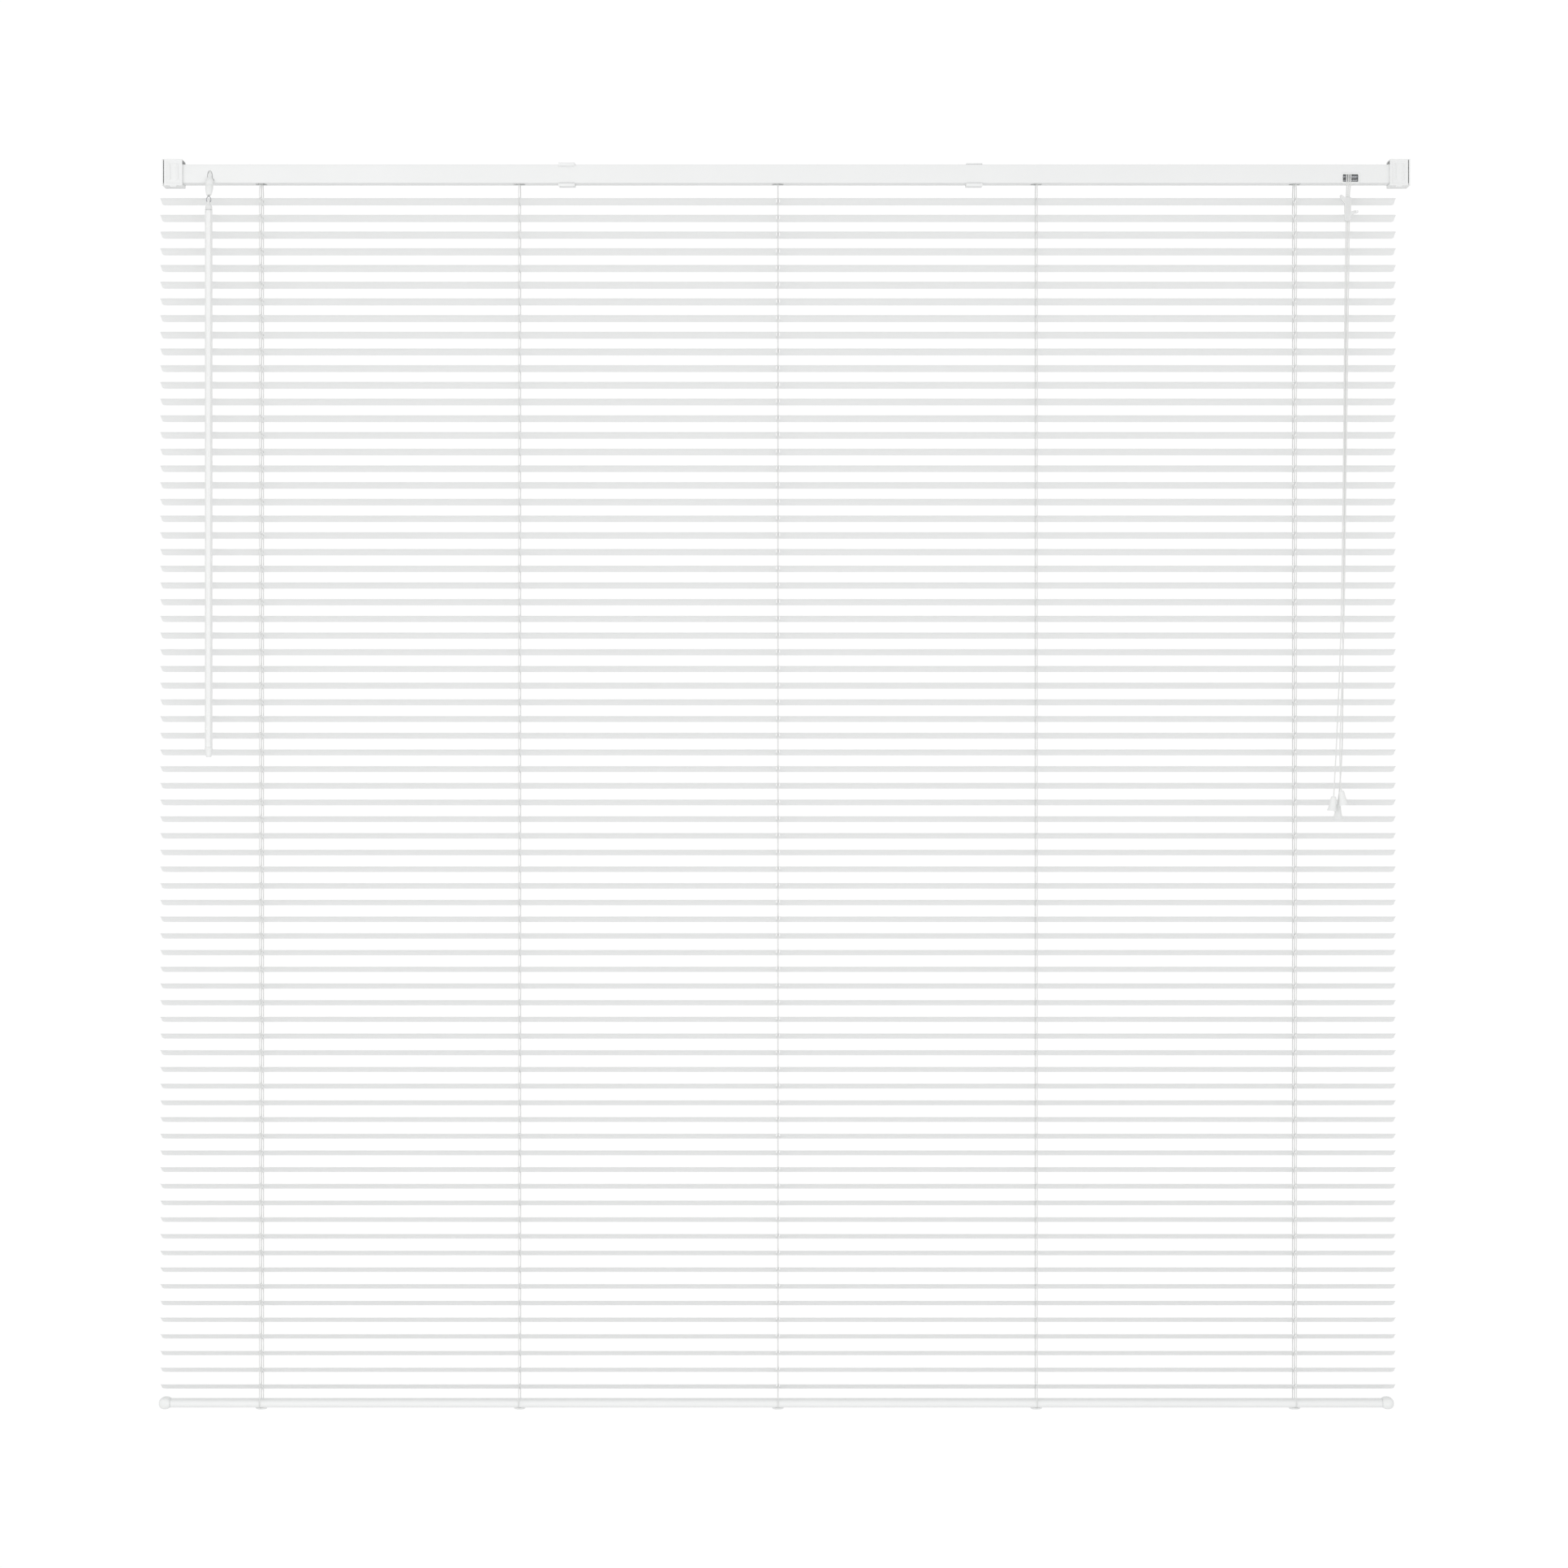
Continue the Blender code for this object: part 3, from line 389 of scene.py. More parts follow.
def loft(rings, around=False):
    """A skin over rings of points; around joins the last ring to the first."""
    shape = bmesh.new()
    made = [[shape.verts.new(p) for p in ring] for ring in rings]
    pairs = list(zip(made, made[1:])) + ([(made[-1], made[0])] if around else [])
    for first, second in pairs:
        for n in range(len(first)):
            after = (n + 1) % len(first)
            shape.faces.new((first[n], first[after], second[after], second[n]))
    if not around:
        shape.faces.new(made[0])
        shape.faces.new(made[-1])
    bmesh.ops.recalc_face_normals(shape, faces=shape.faces)
    return shape


def prism(outline, axis, low, high):
    return loft([[point_on(axis, along, p) for p in outline] for along in (low, high)])


def pipe(outer, inner, axis, low, high):
    rings = ((outer, low), (outer, high), (inner, high), (inner, low))
    return loft([[point_on(axis, along, p) for p in outline] for outline, along in rings], around=True)


def turned(profile, sides, center=(0, 0), base=0.0):
    """A turned solid about a vertical axis, from (radius, height above base) points in millimetres.

    The first and last points lie on the axis.
    """
    shape = bmesh.new()
    rings = []
    for radius, height in profile:
        z = base + height * MM
        if radius == 0:
            rings.append([shape.verts.new((*center, z))])
        else:
            rings.append([shape.verts.new((x, y, z)) for x, y in circle(radius * MM, sides, center)])
    for first, second in zip(rings, rings[1:]):
        for n in range(sides):
            after = (n + 1) % sides
            corners = [first[n % len(first)], first[after % len(first)]]
            corners += [second[after % len(second)], second[n % len(second)]]
            shape.faces.new(list(dict.fromkeys(corners)))
    bmesh.ops.recalc_face_normals(shape, faces=shape.faces)
    return shape


def box(low, high, edge=0.0):
    """A block, with its edges rounded if an edge radius is given."""
    outline = [(low[0], low[1]), (high[0], low[1]), (high[0], high[1]), (low[0], high[1])]
    shape = prism(outline, "Z", low[2], high[2])
    if edge:
        bmesh.ops.bevel(shape, geom=shape.edges[:], offset=edge, segments=3, affect="EDGES", profile=0.5)
    return shape


def box_at(center, low, high, edge=0.0):
    """A block with corners that are this many millimetres from a place."""
    return box(*[[c + a * MM for c, a in zip(center, corner)] for corner in (low, high)], edge)


def placed(shape, place, turn, axis):
    """The shape turned about an axis and moved to a place."""
    matrix = Matrix.Translation(place) @ Matrix.Rotation(turn, 4, axis)
    bmesh.ops.transform(shape, matrix=matrix, verts=shape.verts)
    return shape


def tube(points, radius, sides=10, into=None):
    """A closed tube along points. Its UVs are the turn round it and the distance along it in metres."""
    shape = into or bmesh.new()
    uv = shape.loops.layers.uv.verify()
    points = [Vector(p) for p in points]
    radii = radius if hasattr(radius, "__len__") else [radius] * len(points)
    travelled = [0.0]
    for one, other in zip(points, points[1:]):
        travelled.append(travelled[-1] + (other - one).length)
    side, rings = None, []
    for n, point in enumerate(points):
        ahead = (points[min(n + 1, len(points) - 1)] - points[max(n - 1, 0)]).normalized()
        if side is None:
            side = ahead.cross(Vector((0.3, 1, 0.2))).normalized()
        side = (side - ahead * side.dot(ahead)).normalized()
        up = ahead.cross(side)
        ring = [point + (side * a + up * b) * radii[n] for a, b in circle(1, sides)]
        rings.append([shape.verts.new(p) for p in ring])
    for n in range(len(rings) - 1):
        for k in range(sides):
            after = (k + 1) % sides
            face = shape.faces.new((rings[n][k], rings[n][after], rings[n + 1][after], rings[n + 1][k]))
            corners = ((k, n), (k + 1, n), (k + 1, n + 1), (k, n + 1))
            for loop, (turn, ring) in zip(face.loops, corners):
                loop[uv].uv = (turn / sides, travelled[ring])
            face.smooth = True
    shape.faces.new(rings[0][::-1])
    shape.faces.new(rings[-1])
    return shape


def curve_through(points, steps=6):
    """A smooth open line through points."""
    points, made = [Vector(p) for p in points], []
    for n in range(len(points) - 1):
        before, start, end = points[max(n - 1, 0)], points[n], points[n + 1]
        after = points[min(n + 2, len(points) - 1)]
        reach = (end - start).length / 3
        leave, arrive = (end - before).normalized() * reach, (after - start).normalized() * reach
        made += interpolate_bezier(start, start + leave, end - arrive, end, steps + 1)[:-1]
    return made + [points[-1]]


# ---- pieces


def add_object(name, data):
    made = bpy.data.objects.new(name, data)
    bpy.context.scene.collection.objects.link(made)
    return made


def add_mesh(name, shape):
    mesh = bpy.data.meshes.new(name)
    shape.to_mesh(mesh)
    shape.free()
    return add_object(name, mesh)


def piece(name, shape, look, sharp=radians(38)):
    """Makes an object from a bmesh, in one of the record's finishes."""
    made = add_mesh(name, shape)
    made.data.materials.append(look.material)
    made.data.shade_smooth()
    made.data.set_sharp_from_angle(angle=sharp)
    return made


def settle(made, sharp=radians(38)):
    """Replaces a piece's mesh with the result of its modifiers."""
    graph = bpy.context.evaluated_depsgraph_get()
    result = bpy.data.meshes.new_from_object(
        made.evaluated_get(graph), preserve_all_data_layers=True, depsgraph=graph
    )
    result.set_sharp_from_angle(angle=sharp)
    made.modifiers.clear()
    made.data = result


def shape_with(made, operation, *shapes):
    """Cuts shapes from a piece, or joins them to it."""
    tools = []
    for n, shape in enumerate(shapes):
        tool = add_mesh(f"{made.name}_tool_{n}", shape)
        step = made.modifiers.new(tool.name, "BOOLEAN")
        step.operation, step.object, step.solver = operation, tool, "EXACT"
        tools.append(tool)
    settle(made)
    for tool in tools:
        bpy.data.objects.remove(tool, do_unlink=True)


def cut(made, *shapes):
    shape_with(made, "DIFFERENCE", *shapes)


def join(made, *shapes):
    shape_with(made, "UNION", *shapes)


def soften(made, width, sharp=radians(40)):
    """Rounds a piece's sharp edges."""
    step = made.modifiers.new("soften", "BEVEL")
    step.width, step.segments, step.limit_method, step.angle_limit = width, 2, "ANGLE", sharp
    settle(made, sharp)
    made.data.shade_smooth()


def stands_for(made, body, *nodes):
    """The piece rides on a body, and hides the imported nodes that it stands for."""
    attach(made, body)
    if nodes:
        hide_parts(*nodes)
    return made


# ---- camera and light

VIEW_WIDTH = 2.0112  # what the frame takes in at the headrail's front
VIEW_DISTANCE = 5.5
WORLD_LIGHT, WORLD_SEEN = 0.80, 1.02  # what lights the blind, and what the camera sees
FLOOR_DROP = 0.62  # the floor's distance below the blind, more than the pulled cords reach
FLOOR_HALF_WIDTH, FLOOR_FRONT, FLOOR_BACK, FLOOR_THICKNESS = 2.6, 3.4, 0.7, 0.02


def make_camera():
    low, high = CAD_BOX
    data = bpy.data.cameras.new("camera")
    data.angle = 2 * atan(VIEW_WIDTH / 2 / VIEW_DISTANCE)
    data.clip_end = 60
    camera = add_object("camera", data)
    camera.location = ((low.x + high.x) / 2, RAIL_LOW.y - VIEW_DISTANCE, (low.z + high.z) / 2 + 1 * MM)
    camera.rotation_euler = (pi / 2, 0, 0)
    bpy.context.scene.camera = camera


def add_light(name, place, aim, size, energy):
    data = bpy.data.lights.new(name, "AREA")
    data.shape, data.size, data.energy = "SQUARE", size, energy
    light = add_object(name, data)
    light.location = place
    light.rotation_euler = (Vector(aim) - Vector(place)).to_track_quat("-Z", "Y").to_euler()
    light.visible_camera = False


def make_studio():
    low, high = CAD_BOX
    center = (low + high) / 2
    world = bpy.data.worlds.new("studio")
    world.use_nodes = True
    tree = world.node_tree
    lit, seen = tree.nodes["Background"], tree.nodes.new("ShaderNodeBackground")
    for node, strength in ((lit, WORLD_LIGHT), (seen, WORLD_SEEN)):
        node.inputs["Color"].default_value = (1, 1, 1, 1)
        node.inputs["Strength"].default_value = strength
    path, mix = tree.nodes.new("ShaderNodeLightPath"), tree.nodes.new("ShaderNodeMixShader")
    tree.links.new(path.outputs["Is Camera Ray"], mix.inputs[0])
    tree.links.new(lit.outputs[0], mix.inputs[1])
    tree.links.new(seen.outputs[0], mix.inputs[2])
    tree.links.new(mix.outputs[0], tree.nodes["World Output"].inputs["Surface"])
    bpy.context.scene.world = world
    bpy.context.scene.view_settings.view_transform = "Standard"
    add_light("key", (low.x - 1.2, low.y - 3.4, center.z + 0.6), center, size=2.6, energy=20)
    add_light("fill", (high.x + 1.6, low.y - 3.6, center.z), center, size=3.0, energy=8)
    add_light("low", (center.x, low.y - 2.1, low.z - 0.21), center, size=2.4, energy=10)
    floor_z = low.z - FLOOR_DROP
    floor = box(
        (center.x - FLOOR_HALF_WIDTH, low.y - FLOOR_FRONT, floor_z - FLOOR_THICKNESS),
        (center.x + FLOOR_HALF_WIDTH, FLOOR_BACK, floor_z),
    )
    piece("studio_floor", floor, STUDIO_FLOOR)


# ---- pull cords, tassels and joiner

KNOT_POINTS = 48


def bell(top, lean):
    """A tassel's skin, hollow below, about its lean."""
    profile = [
        (0, -0.3), (2.2, -0.3), (2.75, -0.7), (3.3, -1.5), (3.7, -2.4), (3.75, -3.0), (3.62, -3.3),
        (3.66, -3.7), (3.85, -4.6), (4.1, -7.5), (4.45, -10.5), (5.0, -13.6), (5.7, -16.6), (6.25, -18.4),
        (6.4, -18.8), (6.3, -19.0), (5.95, -19.0), (5.7, -18.7), (5.2, -16.4), (4.5, -13.4), (3.9, -11.4),
        (3.2, -10.6), (1.2, -10.4), (0, -10.4),
    ]
    return placed(turned(profile, 40), top, lean, "Y")


def knot(top, lean):
    """The pull cord's knot, a trefoil inside its tassel, with the cord's end below it."""
    line = [(0.2, 0, -10.2)]
    for k in range(KNOT_POINTS):
        a = 2 * pi * k / KNOT_POINTS
        reach = 1.5 + 0.5 * cos(3 * a)
        line.append((reach * cos(2 * a), reach * sin(2 * a), 0.8 * sin(3 * a) - 12.2))
    line += [(0.9, 0.3, -14.6), (1.1, 0.4, -16.2)]
    place = Matrix.Translation(top) @ Matrix.Rotation(lean, 4, "Y")
    return tube([place @ (Vector(p) * MM) for p in line], 0.7 * MM, 8)


def make_pull_cords():
    joiner = make_joiner()
    for number, route in PULL_CORD_ROUTES.items():
        path = [at(*p) for p in route]
        line = curve_through(path, 8)
        cord = piece(f"cord_{number}", tube(line, PULL_CORD_RADIUS, 12), CORD_WHITE)
        lean = TASSEL_LEAN[number]
        tassel = piece(f"tassel_{number}", bell(path[-1], lean), WHITE_PLASTIC)
        tie = piece(f"tassel_knot_{number}", knot(path[-1], lean), CORD_WHITE)
        stands_for(tassel, "pull_cords", f"cord_tassel_{number}")
        stands_for(tie, "pull_cords")
        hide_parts(f"pull_cord_{number}")
        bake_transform(cord)


def make_joiner():
    """The flat winged clip that holds the pull cords together."""
    outline = [
        (715.4, -43.0), (711.2, -39.5), (709.4, -41.0), (710.6, -45.5), (715.4, -50.5), (715.4, -72.0),
        (716.9, -74.0), (722.3, -74.0), (723.8, -72.0), (723.8, -68.0), (727.6, -64.5), (733.0, -62.6),
        (733.3, -60.4), (727.8, -60.0), (723.8, -61.6), (723.8, -43.0),
    ]
    radii = [1.5, 1.2, 0.8, 3, 4, 2, 1, 1, 1, 3, 4, 1, 1, 4, 3, 1]
    outline = [(ORIGIN.x + x * MM, ORIGIN.z + z * MM) for x, z in rounded(outline, radii, 5)]
    plate = prism(outline, "Y", ORIGIN.y - 20.9 * MM, ORIGIN.y - 16.1 * MM)
    joiner = piece("joiner", plate, CLEAR_PLASTIC)
    cut(joiner, box(at(716.4, -19.8, -90), at(722.8, -17.2, -30)))
    soften(joiner, 0.5 * MM)
    return stands_for(joiner, "pull_cords", "cord_joiner")


# ---- headrail, brackets and gates


def make_headrail():
    """A channel with folded lips, and holes under it for the ladders, worm and lock."""
    front, bottom, top = RAIL_LOW.y, RAIL_LOW.z, RAIL_HIGH.z
    lip, fold = front + RAIL_LIP, top - 2.2 * MM
    half = [
        (front, bottom), (front, top), (lip, top), (lip, fold), (lip - RAIL_WALL, fold),
        (lip - RAIL_WALL, top - RAIL_WALL), (front + RAIL_WALL, top - RAIL_WALL),
        (front + RAIL_WALL, bottom + RAIL_WALL),
    ]
    radii = [1.5, 1.1, 0.5, 0.25, 0.25, 0.2, 0.4, 0.7]
    outline = half + [(2 * ORIGIN.y - y, z) for y, z in reversed(half)]
    outline = rounded(outline, [r * MM for r in radii + radii[::-1]], 4)
    rail = piece("headrail_channel", prism(outline, "X", RAIL_LOW.x, RAIL_HIGH.x), WHITE_STEEL)
    y, z = ORIGIN.y, ORIGIN.z
    cutters = [box_at((x, y, z), (-7, -10, -30), (7, 10, -22)) for x in LADDER_X]
    bore = [(0, 0), (3.4, 0), (3.4, -12.4), (5.6, -12.4), (5.6, -30), (0, -30)]
    cutters.append(placed(turned(bore, 28), WORM_PLACE, -WORM_LEAN, "X"))
    cutters.append(box_at((LOCK_X, y, z), (-11, -20, -30), (11, -6, -12)))
    cut(rail, *cutters)
    stands_for(rail, "headrail", "headrail")


def make_box_bracket(side):
    """A steel box round the headrail's end, open towards its middle and towards the room.

    Its outer wall stands further forward than the rest, beside the gate.
    """
    low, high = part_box(f"{side}_box_bracket")
    bracket = piece(f"{side}_bracket_box", box(low, high, 0.7 * MM), WHITE_STEEL)
    outward = -1 if side == "left" else 1
    outer, inner = (low.x, high.x) if side == "left" else (high.x, low.x)
    pocket_x = sorted((outer - outward * BRACKET_WALL, inner - outward * 5 * MM))
    top, under = high.z - BRACKET_WALL, RAIL_LOW.z - GAP
    tools = [box((pocket_x[0], low.y - 5 * MM, under), (pocket_x[1], high.y - BRACKET_WALL, top))]
    mid_x = (low.x + high.x) / 2
    for y in (ORIGIN.y - 7 * MM, ORIGIN.y + 7 * MM):
        tools.append(prism(screw_slot(mid_x, y), "Z", top - 5 * MM, high.z + 5 * MM))
    for z in (ORIGIN.z - 3 * MM, ORIGIN.z - 18 * MM):
        tools.append(prism(circle(SCREW_HOLE_RADIUS, 24, (mid_x, z)), "Y", high.y - 5 * MM, high.y + 5 * MM))
    cut(bracket, *tools)
    edge_x = sorted((outer, outer - outward * BRACKET_WALL))
    join(bracket, box((edge_x[0], GATE_FRONT, low.z), (edge_x[1], low.y + 1 * MM, high.z)))
    soften(bracket, 0.25 * MM, radians(50))
    stands_for(bracket, "headrail", f"{side}_box_bracket")


def screw_slot(x, y):
    """A screw slot's outline, longer along X; its length is more than twice the hole's radius."""
    radius = SCREW_HOLE_RADIUS
    center = x + SCREW_SLOT_LENGTH / 2 - radius
    angles = [-pi / 2 + pi * k / 10 for k in range(11)]
    right = [(center + radius * cos(a), y + radius * sin(a)) for a in angles]
    return right + [(2 * x - px, 2 * y - py) for px, py in right]


def make_gate(side):
    """A box bracket's hinged front: a rimmed plate with two faint ribs, a snap tongue and a flange."""
    low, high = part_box(f"{side}_bracket_gate")
    if side == "left":
        low.x += BRACKET_WALL + GATE_GROOVE
    else:
        high.x -= BRACKET_WALL + GATE_GROOVE
    back, front = GATE_FRONT + GATE_THICKNESS, GATE_FRONT
    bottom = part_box(f"{side}_box_bracket")[0].z
    lip_top = bottom - GAP
    outline = rounded(
        [(back, high.z), (front, high.z), (front, bottom), (back, bottom)],
        [0.3 * MM, 0.6 * MM, 0.5 * MM, 0.3 * MM],
    )
    gate = piece(f"{side}_gate_plate", prism(outline, "X", low.x, high.x), WHITE_STEEL)
    tongue = [
        (front + 0.2 * MM, bottom + 2 * MM), (front + 0.2 * MM, lip_top - 1.2 * MM),
        (back + 2.4 * MM, lip_top - 1.2 * MM), (back + 2.4 * MM, lip_top), (back - 0.1 * MM, lip_top),
        (back - 0.1 * MM, bottom + 2 * MM),
    ]
    mid_x = (low.x + high.x) / 2
    end_x = (high.x - 1 * MM, high.x) if side == "left" else (low.x, low.x + 1 * MM)
    flange = box(
        (end_x[0], back - 0.5 * MM, RAIL_LOW.z + 0.4 * MM),
        (end_x[1], RAIL_LOW.y - GAP, RAIL_HIGH.z - 0.5 * MM),
    )
    join(gate, prism(tongue, "X", mid_x - 4 * MM, mid_x + 4 * MM), flange)
    rim, sunk = 3.2 * MM, 0.35 * MM
    cut(gate, box(
        (low.x + rim, front - 1 * MM, low.z + 4 * MM), (high.x - rim, front + sunk, high.z - rim), 0.3 * MM
    ))
    join(gate, *[
        box_at((low.x + (high.x - low.x) * share, front, ORIGIN.z), (-1, -0.7, -20), (1, 0.5, 0), 0.3 * MM)
        for share in (0.28, 0.72)
    ])
    soften(gate, 0.18 * MM, radians(50))
    stands_for(gate, f"{side}_gate", f"{side}_bracket_gate")


def make_support(side, has_front_tab):
    """A steel strap round the headrail, with two screw holes through its back."""
    low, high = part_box(f"{side}_support_bracket")
    x, y, z = (low.x + high.x) / 2, ORIGIN.y, ORIGIN.z
    wall, top, toe = (high.y - y) / MM, (high.z - z) / MM, (low.z - z) / MM
    inner, under = wall - BRACKET_WALL / MM, (RAIL_LOW.z - GAP - z) / MM
    bottom = under - 1.8
    tip = [(-10, top), (-10, 0.3)]
    if has_front_tab:
        tip = [(-14.8, top), (-14.8, -2.2), (-12.8, -2.2), (-12.8, 0.3)]
    outline = [
        (wall, top), *tip, (inner, 0.3), (inner, under), (-15, under), (-15, toe), (-13.5, toe),
        (-13.5, bottom), (wall, bottom),
    ]
    outline = [(y + a * MM, z + b * MM) for a, b in rounded(outline, 0.5, 3)]
    strap = piece(f"{side}_support_strap", prism(outline, "X", low.x, high.x), WHITE_STEEL)
    cut(strap, *[
        prism(circle(SCREW_HOLE_RADIUS, 24, (x, hole_z)), "Y", high.y - 6.5 * MM, high.y + 5 * MM)
        for hole_z in (z - 4 * MM, z - 19 * MM)
    ])
    soften(strap, 0.25 * MM, radians(55))
    stands_for(strap, "headrail", f"{side}_support_bracket")


# ---- cord lock

KNURL_POINTS, KNURL_DEPTH = 36, 0.22 * MM


def make_cord_lock():
    """The lock's bezel round its mouth, its knurled roller and its fixed bar."""
    x, y, z = LOCK_X, ORIGIN.y, ORIGIN.z
    edges = []
    for half, low, high, radius in ((12, -24.6, -10.8, 2.4), (9.9, -22.6, -12.8, 1.4)):
        edge = rounded([(-half, low), (half, low), (half, high), (-half, high)], radius, 6)
        edges.append([(x + a * MM, z + b * MM) for a, b in edge])
    bezel = pipe(*edges, "Y", RAIL_LOW.y - 1.1 * MM, RAIL_LOW.y + 2.2 * MM)
    bezel = piece("lock_bezel", bezel, WHITE_PLASTIC)
    soften(bezel, 0.45 * MM)
    stands_for(bezel, "headrail")
    low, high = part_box("cord_lock_roller")
    center, radius = (low + high) / 2, (high.z - low.z) / 2
    knurl = []
    for k in range(KNURL_POINTS):
        a = 2 * pi * k / KNURL_POINTS
        r = radius - (KNURL_DEPTH if k % 2 else 0)
        knurl.append((center.y + r * cos(a), center.z + r * sin(a)))
    roller = piece("lock_roller", prism(knurl, "X", low.x, high.x), BRIGHT_STEEL, radians(60))
    stands_for(roller, "lock_roller", "cord_lock_roller")
    profile = rounded([(0, -9.8), (1.3, -9.8), (1.3, 9.8), (0, 9.8)], [0, 0.3, 0.3, 0], 3)
    bar = placed(turned(profile, 20), (x, y - 8.2 * MM, z - 20.4 * MM), pi / 2, "Y")
    stands_for(piece("lock_bar", bar, BRIGHT_STEEL), "headrail")


# ---- tilter and wand


def make_worm():
    """The worm with its thread, its shaft and the fluted collar below the headrail."""
    end = (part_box("tilter_worm")[0].z + 1.0 * MM - WORM_PLACE[2]) / cos(WORM_LEAN) / MM
    profile = [
        (0, 4.6), (2.1, 4.6), (2.3, 3.4), (2.3, -5.6), (2.9, -6.6), (3.0, -7), (3.0, -12.6), (3.3, -13.3),
        (4.6, -14.6), (5.0, -15.2), (5.0, end + 15), (4.7, end + 14.6), (4.7, end + 13.6), (5.0, end + 13.2),
        (5.0, end + 10), (4.5, end + 6), (3.5, end + 1), (2.9, end + 0.2), (2.4, end), (0, end),
    ]
    shape = turned(profile, 36)
    thread = []
    for k in range(THREAD_TURNS * THREAD_STEPS + 1):
        turn = k / THREAD_STEPS
        a = 2 * pi * turn
        thread.append((THREAD_RADIUS * cos(a), THREAD_RADIUS * sin(a), THREAD_TOP - THREAD_PITCH * turn))
    tube(thread, 0.42 * MM, 6, into=shape)
    worm = piece("worm", placed(shape, WORM_PLACE, -WORM_LEAN, "X"), WHITE_PLASTIC)
    stands_for(worm, "worm", "tilter_worm")


def make_wand():
    """The worm's wire stirrup, and the wand's sleeve with its eye, six-sided rod and tip."""
    x, y, z = TILTER_X, WAND_Y, ORIGIN.z
    pivot = z - 49.5 * MM

    stirrup = [
        (0.0, -40.6), (0.4, -42.6), (1.6, -43.6), (2.6, -45.2), (2.75, -47.4), (2.5, -49.0), (1.6, -49.5),
        (0.0, -49.55), (-1.6, -49.5), (-2.5, -49.0), (-2.75, -47.4), (-2.6, -45.2), (-1.6, -43.6),
        (-0.5, -42.8), (0.1, -43.4),
    ]
    line = curve_through([(x + a * MM, y, z + b * MM) for a, b in stirrup], 5)
    stands_for(piece("wand_stirrup", tube(line, 0.55 * MM, 10), BRIGHT_STEEL), "wand_hook", "wand_hook")

    profile = [
        (0, -51.2), (1.2, -51.3), (2.2, -51.9), (3.1, -53.2), (3.9, -54.7), (4.3, -56.2), (4.45, -57.4),
        (4.2, -57.7), (4.2, -58.3), (4.6, -58.6), (4.8, -59.0), (4.8, -59.7), (4.6, -60.0), (0, -60.0),
    ]
    sleeve = piece("sleeve", turned(profile, 36, (x, y), z), CLEAR_PLASTIC)
    sides = (x - 1.5 * MM, x + 1.5 * MM)
    eye = prism(circle(2.9 * MM, 28, (y, pivot)), "X", *sides)
    neck = [(-2.7, -50.5), (-2.0, -54), (2.0, -54), (2.7, -50.5)]
    join(sleeve, eye, prism([(y + a * MM, z + b * MM) for a, b in neck], "X", *sides))
    cut(sleeve, prism(circle(1.4 * MM, 20, (y, pivot)), "X", x - 5 * MM, x + 5 * MM))
    soften(sleeve, 0.25 * MM, radians(50))
    stands_for(sleeve, "wand", "wand_sleeve")

    rings = []
    outline = rounded(circle(WAND_FLATS / sqrt(3), 6), 0.9 * MM, 3)
    low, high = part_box("wand")
    for z, share in ((low.z, 0.9), (low.z + 0.5 * MM, 1), (high.z - 0.5 * MM, 1), (high.z, 0.9)):
        rings.append([(x + a * share, y + b * share, z) for a, b in outline])
    stands_for(piece("wand_rod", loft(rings), MILKY_PLASTIC, radians(30)), "wand", "wand")

    low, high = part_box("wand_tip")
    top = (high.z - low.z) / MM
    profile = [
        (0, top), (4.7, top), (5.0, top - 0.3), (5.0, top - 2.6), (4.85, top - 3.0), (4.5, top - 3.3),
        (4.3, top - 5.5), (4.0, top - 8), (3.6, 1.2), (3.3, 0.3), (2.9, 0), (1.4, 0), (1.2, 1.2), (0, 1.2),
    ]
    tip = turned(profile, 36, (x, y), low.z)
    stands_for(piece("wand_end", tip, MILKY_PLASTIC), "wand", "wand_tip")


# ---- slats and ladders


def slat_columns():
    """The X places of a slat's vertex columns, from its middle, with the half width at each."""
    half, center = (SLATS_HIGH.x - SLATS_LOW.x) / 2, (SLATS_LOW.x + SLATS_HIGH.x) / 2
    width = SLAT_WIDTH / 2
    ends = [
        (half - SLAT_CORNER * (1 - sin(a)), width - SLAT_CORNER * (1 - cos(a)))
        for a in (radians(18) * k for k in range(6))
    ]
    columns = [(center - x, w) for x, w in reversed(ends)]
    for hole in LIFT_CORD_X:
        columns += [(hole + ROUTE_HOLE[0] * share, width) for share in (-1, -0.7, 0, 0.7, 1)]
    columns += [(center + x, w) for x, w in ends]
    return sorted(columns)


def crown(across):
    """How high a slat's crown is, this far across it from its middle."""
    return SLAT_CROWN * (0.45 - (across / (SLAT_WIDTH / 2)) ** 2)


